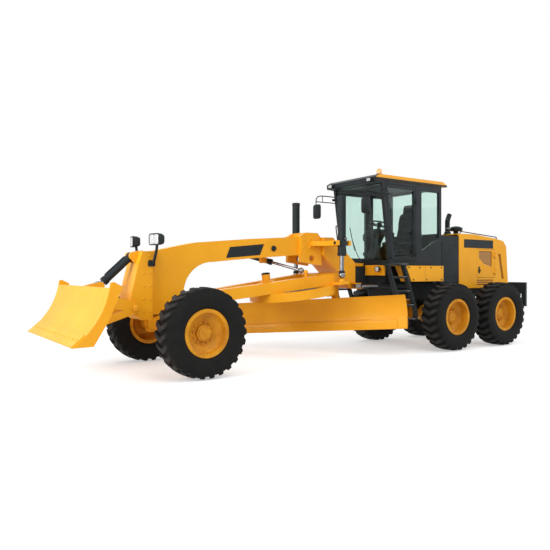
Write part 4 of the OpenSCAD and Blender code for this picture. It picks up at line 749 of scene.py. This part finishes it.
# a flat dark disc just past the pipe's closed end stands in for its open bore: painted shade of the inside
revolved("exhaustMouth", [(0.047, -0.06), (0, -0.06)], mouth, mouthWay, iron, rear, 32)
clamp = [(0.054, -0.012), (0.06, -0.01), (0.06, 0.01), (0.054, 0.012)]
revolved("exhaustClamp", clamp, stack + (0, 0, 0.13), up, steel, rear, 40, closed=True)
ring = circlePoints(stackLook["boltCircle"], 6)
spots = np.column_stack([ring, np.full(6, 0.014)]) + stack
boltHeads("exhaustBolts", spots, up, steel, rear, 0.008, 0.008, washer=False)
cleaner = [(0, 0), (0.075, 0), (0.075, 0.012), (0.055, 0.018), (0.055, 0.078), (0.1, 0.084), (0.138, 0.09),
           (0.145, 0.1), (0.145, 0.112), (0.139, 0.116), (0.139, 0.128), (0.145, 0.132), (0.144, 0.146),
           (0.13, 0.16), (0.105, 0.174), (0.075, 0.186), (0.035, 0.193), (0, 0.195)]
revolved("preCleaner", cleaner, atTandem(*stackLook["cleaner"]), up, dark, rear, 64)
print("stacks made")


# lamps and mirrors
def boxLamp(name, centre, size, direction, body, cells=1):
    # housing that narrows to the rear, a rim round its face, and a crowned lens for each cell
    axes = axesFor(direction)
    deep = size[2]
    half = deep / 2
    outline = roundOutline(size[0], size[1], min(size[0], size[1]) * 0.22)
    levels = [(0.03 * deep + 0.028, -half), (0.02, -half + 0.012), (0.004, -deep * 0.05), (0, half - 0.016),
              (0, half - 0.004), (0.004, half), (0.01, half), (0.012, half - 0.006)]
    shell = putMesh(name, stacked(outline, levels, centre, axes), dark, body)
    wide = (size[0] - 0.03) / cells
    lens = roundOutline(wide - 0.008, size[1] - 0.034, 0.016)
    crown = [(0, 0), (0.001, 0.004), (0.008, 0.007), (0.02, 0.009)]
    for k in range(cells):
        spot = np.asarray(centre, float) + (k - (cells - 1) / 2) * wide * axes[0] + axes[2] * (half - 0.008)
        putMesh("%sLens%d" % (name, k), stacked(lens, crown, spot, axes), clearLamp, body)
    return shell


tailLook = {"x": -5.165, "z": 1.195, "thick": 0.012, "bevel": 0.004}
tailPieces = (("Box", 0.004, 0.8, 0.2, 0.17, dark, 0.02), ("Red", 0.013, 0.755, 0.085, 0.14, redLamp, 0.012),
              ("Amber", 0.013, 0.848, 0.075, 0.14, amberLamp, 0.012))
headLook = {"place": (3.667, 0.45, 2.06), "size": (0.26, 0.18, 0.13), "turn": 0.22, "footX": 3.675,
            "footZ": 1.7}
mirrorLook = {"x": 2.79, "y": 0.73, "z": 2.815, "shell": (0.215, 0.3, 0.06), "face": (0.165, 0.25, 0.006),
              "armY": 0.735}
workProfile = [(0, 0), (0.02, 0), (0.022, 0.02), (0.045, 0.035), (0.056, 0.06), (0.058, 0.085),
               (0.052, 0.09), (0.05, 0.082)]
workLens = [(0.051, 0.08), (0.04, 0.088), (0.02, 0.092), (0, 0.093)]
for s, side in bothSides:
    out = (0, s, 0)
    roofLamp = boxLamp("roofLamp" + side, atTandem(2.532, s * 0.57, 3.33), (0.14, 0.092, 0.06), forward,
                       rear)
    for piece, proud, y, wide, high, look, radius in tailPieces:
        centre = (tailLook["x"] - proud, s * y, tailLook["z"])
        block("tailLamp" + piece + side, centre, (wide, high, tailLook["thick"]), look, rear, radius,
              tailLook["bevel"], rearward)
    apron = (-0.845, s * 0.6, 1.622)
    revolved("workLamp" + side, workProfile, apron, forward, dark, rear, 36)
    revolved("workLampLens" + side, workLens, apron, forward, clearLamp, rear, 36)
    headX, headY, headZ = headLook["place"]
    headWay = (math.cos(headLook["turn"]), s * math.sin(headLook["turn"]), 0)
    head = boxLamp("headlamp" + side, (headX, s * headY, headZ), headLook["size"], headWay, front, 2)
    stalk = [(3.665, s * 0.27, 1.7), (3.663, s * 0.32, 1.74), (3.66, s * 0.4, 1.88), (3.66, s * 0.43, 1.975)]
    tube("headlampStalk" + side, stalk, 0.022, dark, front, 20, 16)
    footX, footZ = headLook["footX"], headLook["footZ"]
    block("headlampFoot" + side, (footX, s * 0.257, footZ), (0.09, 0.12, 0.014), dark, front, 0.012, 0.004,
          out, forward)
    spots = grid((footX - 0.03, footX + 0.03), (s * 0.264,), (footZ - 0.042, footZ + 0.042))
    boltHeads("headlampBolts" + side, spots, out, dark, front, 0.009, 0.008)
    mirrorX, mirrorY, mirrorZ = mirrorLook["x"], s * mirrorLook["y"], mirrorLook["z"]
    shell = block("mirrorShell" + side, atTandem(mirrorX - 0.02, mirrorY, mirrorZ), mirrorLook["shell"],
                  dark, rear, 0.05, 0.022, rearward)
    block("mirrorFace" + side, atTandem(mirrorX - 0.049, mirrorY, mirrorZ), mirrorLook["face"], mirror, rear,
          0.035, 0.002, rearward)
    arm = s * mirrorLook["armY"]
    high = sideRun(arm, (2.265, 3.145), (2.5, 3.15), (2.7, 3.14), (mirrorX - 0.012, 3.09), (mirrorX, 3.02),
                   (mirrorX, 2.93))
    tube("mirrorArmHigh" + side, high, 0.011, dark, rear, 40)
    low = sideRun(arm, (2.25, 3.02), (2.52, 3.02), (mirrorX - 0.004, 3.02))
    tube("mirrorArmLow" + side, low, 0.01, dark, rear, 10)
    tube("mirrorArmLink" + side, sideRun(arm, (2.62, 3.02), (2.62, 3.148)), 0.008, dark, rear, 4)
    block("mirrorFoot" + side, atTandem(2.262, s * 0.726, 3.083), (0.05, 0.2, 0.014), dark, rear, 0.01,
          0.004, out, forward)
    if s == 1:
        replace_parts(head, "headlamps")
        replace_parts(shell, "mirrors")
        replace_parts(roofLamp, "lamps")
beacon = atTandem(2.3, 0.6, 3.43)
beaconFoot = [(0, 0), (0.065, 0), (0.065, 0.018), (0.058, 0.026), (0, 0.026)]
beaconDome = [(0.055, 0.026), (0.056, 0.05), (0.054, 0.085), (0.048, 0.108), (0.034, 0.122), (0.016, 0.129),
              (0, 0.13)]
revolved("beaconFoot", beaconFoot, beacon, up, dark, rear, 40)
revolved("beaconDome", beaconDome, beacon, up, beaconLamp, rear, 40)
print("lamps and mirrors made")

# cab outside
panelLook = {"side": 0.91, "high": 1.655, "highX": (0.86, 1.18, 1.5, 1.8), "low": 1.415,
             "lowX": (0.86, 1.3, 1.68)}
ladderLook = {"y": 0.88, "steps": (0.65, 0.92, 1.19, 1.46), "bendZ": 0.8, "bendRun": 0.9, "proud": 0.019,
              "backX": (1.6, 0.335), "frontX": (1.99, 0.37), "margin": 0.07, "deep": 0.068, "thick": 0.008}
for s, side in bothSides:
    out = (0, s, 0)
    door = "door" + side
    sidePlate("doorHandlePlate" + side, oblong(1.432, 2.235, 1.468, 2.405), 0.72, s, 0.005, dark, door)
    handle = handRun(s, (1.45, 0.725, 2.25), (1.452, 0.752, 2.27), (1.455, 0.756, 2.32),
                     (1.452, 0.752, 2.37), (1.45, 0.725, 2.39))
    tube("doorHandle" + side, handle, 0.009, dark, door)
    spots = sideRun(s * panelLook["side"], *[(x, panelLook["high"]) for x in panelLook["highX"]],
                    *[(x, panelLook["low"]) for x in panelLook["lowX"]])
    boltHeads("panelBolts" + side, spots, out, dark, rear, 0.012, 0.009)
    sidePlate("panelSeam" + side, oblong(1.335, 1.385, 1.339, 1.685), 0.909, s, 0.0015, dark, rear, 0.0005)
    spots = grid((-0.845,), (s * 0.25, s * 0.46), (1.53, 1.66))
    boltHeads("apronBolts" + side, spots, forward, yellow, rear, 0.012, 0.009)
    for k, z in enumerate(ladderLook["steps"]):
        high = min(1.0, max(0, z - ladderLook["bendZ"]) / ladderLook["bendRun"])
        x0, x1 = (tandem + start + run * high for start, run in (ladderLook["backX"], ladderLook["frontX"]))
        size = (x1 - x0 - ladderLook["margin"], ladderLook["deep"], ladderLook["thick"])
        centre = ((x0 + x1) / 2, s * ladderLook["y"], z + ladderLook["proud"])
        block("tread%s_%d" % (side, k), centre, size, treadSteel, rear, 0.01, 0.002)
    block("stepPlate" + side, atTandem(2.115, s * 0.832, 1.717), (0.56, 0.17, 0.006), treadSteel, rear,
          0.015, 0.002)
    grab = handRun(s, (2.1, 0.722, 1.83), (2.112, 0.752, 1.86), (2.17, 0.76, 2.15), (2.235, 0.752, 2.5),
                   (2.24, 0.722, 2.54))
    tube("grabRail" + side, grab, 0.012, dark, rear, 40)
    wiper = handRun(s, (2.148, 0.1, 1.815), (2.185, 0.16, 1.95), (2.222, 0.26, 2.24))
    tube("wiperArm" + side, wiper, 0.007, dark, rear, 16)
    wiper = handRun(s, (2.184, 0.22, 2.00), (2.215, 0.26, 2.22), (2.25, 0.3, 2.48))
    tube("wiperBlade" + side, wiper, 0.008, trim, rear, 16)
brow = outlineAt(tandem, (2.5, 3.288), (2.506, 3.288), (2.506, 3.382), (2.412, 3.434), (2.409, 3.43),
                 (2.5, 3.379))
sidePlate("roofBrow", brow, -0.728, 1, 1.456, dark, rear, 0.001)
for s, side in bothSides:
    sidePlate("dripRail" + side, oblong(0.482, 3.33, 2.502, 3.366), 0.731, s, 0.007, dark, rear)
spots = grid((tandem + 2.506,), (-0.35, -0.12, 0.12, 0.35), (3.307,))
boltHeads("visorBolts", spots, forward, dark, rear, 0.01, 0.006)
print("cab outside made")

# cylinders
liftLook = {"x": 0.205, "y": 0.7, "gland": 1.86, "top": 2.95, "radius": 0.075, "ball": 1.535, "portZ": 2.165}
hingeLook = {"base": (-1.665, 0.56, 1.3), "eye": (-0.415, 0.44, 1.3), "gland": 0.7, "radius": 0.046}
ramLook = {"top": (3.911, 0, 1.814), "eye": (4.412, 0, 1.354), "rodEnd": 0.09, "radius": 0.06}
shiftLook = {"base": (1.235, -0.25, 1.78), "eye": (0.795, 0.4, 1.566), "gland": 0.075, "radius": 0.0485}


def between(start, end):
    # the unit way from one place to another, and how far apart they are
    gap = np.array(end) - np.array(start)
    return gap / np.linalg.norm(gap), np.linalg.norm(gap)


def glandRings(name, centre, direction, radius, body, long):
    # a gland nut with a groove round its middle, open for the rod
    profile = [(-0.004, 0), (0.006, 0), (0.008, 0.004), (0.008, long * 0.35), (0.004, long * 0.4),
               (0.004, long * 0.46), (0.008, long * 0.5), (0.008, long - 0.004), (0.003, long),
               (-0.004, long)]
    revolved(name, [(radius + proud, high) for proud, high in profile], centre, direction, dark, body,
             closed=True)


capProfile = [(0, 0.006), (0.045, 0.006), (0.062, 0.002), (0.079, -0.01), (0.079, -0.05), (0.074, -0.052)]
fittingProfile = [(0, 0), (0.012, 0), (0.012, 0.014), (0.009, 0.016), (0.009, 0.028), (0, 0.028)]
ballProfile = [(0.03, 0), (0.055, 0.01), (0.06, 0.024), (0.057, 0.04), (0.046, 0.052), (0.041, 0.058)]
for s, side in bothSides:
    barrel = "lift_barrel" + side
    x, y, portZ = liftLook["x"], s * liftLook["y"], liftLook["portZ"]
    glandRings("liftGland" + side, (x, y, liftLook["gland"] - 0.002), up, liftLook["radius"], barrel, 0.07)
    revolved("liftCap" + side, capProfile, (x, y, liftLook["top"]), up, dark, barrel)
    knots = ((0.074, 2.885), (0.088, 2.87), (0.092, 2.6), (0.092, 2.3), (0.098, 2.19))
    tube("liftPipe" + side, [(x, y + s * stand, z) for stand, z in knots], 0.01, dark, barrel, 40)
    block("liftPort" + side, (x, y + s * 0.089, portZ), (0.05, 0.05, 0.034), dark, barrel, 0.006, 0.003,
          (0, s, 0))
    for k, shift in enumerate((-0.016, 0.016)):
        revolved("liftFitting%s_%d" % (side, k), fittingProfile, (x + shift, y + s * 0.104, portZ),
                 (0, s, 0), steel, barrel, 12)
    revolved("liftBallCap" + side, ballProfile, (x, y, liftLook["ball"]), up, dark, "lift_rod" + side, 40)
    mirrored = np.array([1, s, 1])
    base = mirrored * hingeLook["base"]
    way, far = between(base, mirrored * hingeLook["eye"])
    glandRings("hingeGland" + side, base + way * hingeLook["gland"], way, hingeLook["radius"],
               "hinge_barrel" + side, 0.062)

ramTop = np.array(ramLook["top"])
ramWay, far = between(ramTop, ramLook["eye"])
ramLong = far - ramLook["rodEnd"]
glandRings("dozerGland", ramTop + ramWay * (ramLong - 0.062), ramWay, ramLook["radius"], "dozer_barrel",
           0.064)
ramUp = np.array([-ramWay[2], 0, ramWay[0]])
knots = [(0.09, 0.056), (0.105, 0.066), (0.3, 0.067), (ramLong - 0.11, 0.066), (ramLong - 0.085, 0.056)]
pipe = [ramTop + ramWay * along + ramUp * stand for along, stand in knots]
tube("dozerPipe", pipe, 0.009, dark, "dozer_barrel", 30)
shiftWay, far = between(shiftLook["base"], shiftLook["eye"])
shiftSpot = np.array(shiftLook["base"]) + shiftWay * shiftLook["gland"]
glandRings("shiftGland", shiftSpot, shiftWay, shiftLook["radius"], "shift_barrel", 0.055)
print("cylinder pieces made")

# blades and circle
bladeLook = {"ball": (2.935, 0, 1.06), "pitch": 7.0, "back": 2.121, "low": 0.205, "turn": 33.0,
             "mid": (-0.12146, -0.4445), "outer": 0.4325, "inner": 0.422, "half": 1.8, "edgeFrom": 21.5,
             "endInner": 0.418, "endFrom": 12.0, "ends": (1.805, 1.978), "drop": 0.3075, "bend": 0.432,
             "boltTilt": 29.0}
dozerLook = {"mid": (5.829, 1.559), "outer": 1.1675, "inner": 1.152, "half": 1.265, "edgeFrom": 44.0,
             "drop": 0.957, "bend": 1.167, "boltTilt": 49.0}
teethLook = {"count": 60, "outer": 0.712, "root": 0.709, "tip": 0.678, "low": 0.006, "high": 0.062}
motorLook = {"x": -1.581, "top": 0.2753, "boltTop": 0.1553, "boltCircle": 0.125}


def turned(axis, degrees):
    # the turn about one axis, as a matrix
    return np.array(mathutils.Matrix.Rotation(math.radians(degrees), 3, axis))


ball = np.array(bladeLook["ball"])
pitchTurn = turned("Y", bladeLook["pitch"])
bladeAxes = (pitchTurn @ turned("Z", bladeLook["turn"])).T
circleMiddle = ball + pitchTurn @ np.array([-bladeLook["back"], 0, -bladeLook["low"]])


def onBlade(points):
    # the blade's own (forward, along, up) places in the row frame
    return circleMiddle + np.asarray(points, float) @ bladeAxes


def onDrawbar(points):
    # the drawbar's own (forward, left, up) places, from its ball, in the row frame
    return ball + np.asarray(points, float) @ pitchTurn.T


def arcPlate(name, mid, inner, outer, start, end, y0, y1, placed, body, steps=14):
    # a plate bent on a circle: its section runs from angle start to end, measured down from straight back,
    # between two radii
    a = np.radians(np.linspace(start, end, steps))
    ring = np.concatenate([np.stack([mid[0] - r * np.cos(a), mid[1] - r * np.sin(a)], -1)[::way]
                           for r, way in ((outer, 1), (inner, -1))])
    count = len(ring)
    points = np.concatenate([np.stack([ring[:, 0], np.full(count, y), ring[:, 1]], -1) for y in (y0, y1)])
    caps = [list(range(count)), list(range(count, 2 * count))[::-1]]
    return putMesh(name, (placed(points), gridFaces(2, count, wrapCols=True), caps), yellow, body, crease=30)


def edgeBolts(name, look, along, placed, axes, body, radius):
    # bolt heads in a row on the face of a bent plate, at one angle down from straight back
    tilt = math.radians(look["boltTilt"])
    away = np.array([math.cos(tilt), 0, math.sin(tilt)])
    x, y, z = np.array([look["mid"][0], 0, look["mid"][1]]) - look["inner"] * away
    spots = [(x, y + shift, z) for shift in along]
    boltHeads(name, placed(spots), away @ axes, yellow, body, radius, 0.006, 12, False)


def footAngle(look):
    # how far down a bent plate's foot lies, from its drop below the bend's middle and the bend's radius
    return math.degrees(math.asin(look["drop"] / look["bend"]))


mid, outer = bladeLook["mid"], bladeLook["outer"]
half, ends = bladeLook["half"], bladeLook["ends"]
foot = footAngle(bladeLook)
arcPlate("bladeEdge", mid, bladeLook["inner"], outer, bladeLook["edgeFrom"], foot, -half, half, onBlade,
         "moldboard")
for s, side in bothSides:
    arcPlate("bladeEndBit" + side, mid, bladeLook["endInner"], outer, bladeLook["endFrom"], foot,
             s * ends[0], s * ends[1], onBlade, "moldboard")
edgeBolts("bladeEdgeBolts", bladeLook, np.linspace(-1.72, 1.72, 19), onBlade, bladeAxes, "moldboard", 0.014)
half = dozerLook["half"]
arcPlate("dozerEdge", dozerLook["mid"], dozerLook["inner"], dozerLook["outer"], dozerLook["edgeFrom"],
         footAngle(dozerLook), -half, half, np.asarray, "dozer_blade")
edgeBolts("dozerEdgeBolts", dozerLook, np.linspace(-1.18, 1.18, 14), np.asarray, level, "dozer_blade", 0.015)

# teeth inside the circle: each has two points at its root and two at its tip
count = 4 * teethLook["count"]
tooth = np.tile([teethLook["root"], teethLook["root"], teethLook["tip"], teethLook["tip"]],
                teethLook["count"])
outerRing = circlePoints(teethLook["outer"], count)
innerRing = circlePoints(tooth, count)
low, high = teethLook["low"], teethLook["high"]
rows = [np.column_stack([ring, np.full(count, z)])
        for ring, z in ((outerRing, low), (innerRing, low), (innerRing, high), (outerRing, high))]
points = circleMiddle + np.concatenate(rows) @ pitchTurn.T
faces = gridFaces(4, count, wrapRows=True, wrapCols=True)[:, ::-1]
putMesh("circleTeeth", (points, faces, []), steel, "circle", smooth=False)
motorUp = pitchTurn @ np.array([0, 0, 1.0])
motor = onDrawbar((motorLook["x"], 0, motorLook["top"])) - 0.002 * motorUp
motorProfile = [(0, 0), (0.078, 0), (0.08, 0.004), (0.08, 0.02), (0.06, 0.024), (0.055, 0.03), (0, 0.03)]
revolved("circleMotor", motorProfile, motor, motorUp, dark, "drawbar", 40)
ring = circlePoints(motorLook["boltCircle"], 8) + (motorLook["x"], 0)
spots = onDrawbar(np.column_stack([ring, np.full(8, motorLook["boltTop"])]))
boltHeads("gearboxBolts", spots, motorUp, yellow, "drawbar", 0.013, 0.012)
print("blade pieces made")

# pins and bolts on the frames
pinLook = {"hingeX": -0.765, "hingeRadius": 0.085, "caseCircle": 0.175, "caseSide": 0.589}


def pinCap(name, centre, direction, radius, look, body):
    # a round cap with a softened edge, its profile in shares of the radius
    profile = [(0, 0), (1.0, 0), (1.0, 0.004), (0.85, 0.012), (0.6, 0.016), (0, 0.016)]
    revolved(name, [(share * radius, high) for share, high in profile], centre, direction, look, body, 36)


pinCap("hingePinTop", (pinLook["hingeX"], 0, 1.74), up, pinLook["hingeRadius"], dark, rear)
pinCap("hingePinFoot", (pinLook["hingeX"], 0, 1.25), (0, 0, -1), pinLook["hingeRadius"], dark, rear)
for s, side in bothSides:
    out = (0, s, 0)
    pinCap("dozerPinCap" + side, (3.955, s * 0.329, 1.02), out, 0.05, yellow, front)
    spots = grid((3.7, 3.8), (s * 0.25,), (0.95, 1.15, 1.35, 1.55)) + [(3.7, s * 0.25, 1.82)]
    boltHeads("bracketBolts" + side, spots, out, yellow, front, 0.013, 0.011)
    spots = grid((0.72, 0.58, 0.44), (s * 0.24,), (2.02, 2.16))
    boltHeads("saddleBolts" + side, spots, out, yellow, front, 0.016, 0.013)
    spots = grid((tailLook["x"],), (s * 0.32, s * 0.4), (1.1, 1.29))
    boltHeads("bumperBolts" + side, spots, rearward, dark, rear, 0.014, 0.01)
    for row in ("mid", "rear"):
        ring = circlePoints(pinLook["caseCircle"], 10) + (wheels[row], place["tyreRadius"])
        spots = np.stack([ring[:, 0], np.full(10, s * pinLook["caseSide"]), ring[:, 1]], -1)
        boltHeads("caseBolts_" + row + side, spots, (0, -s, 0), yellow, rear, 0.012, 0.01)
print("pins and bolts made")
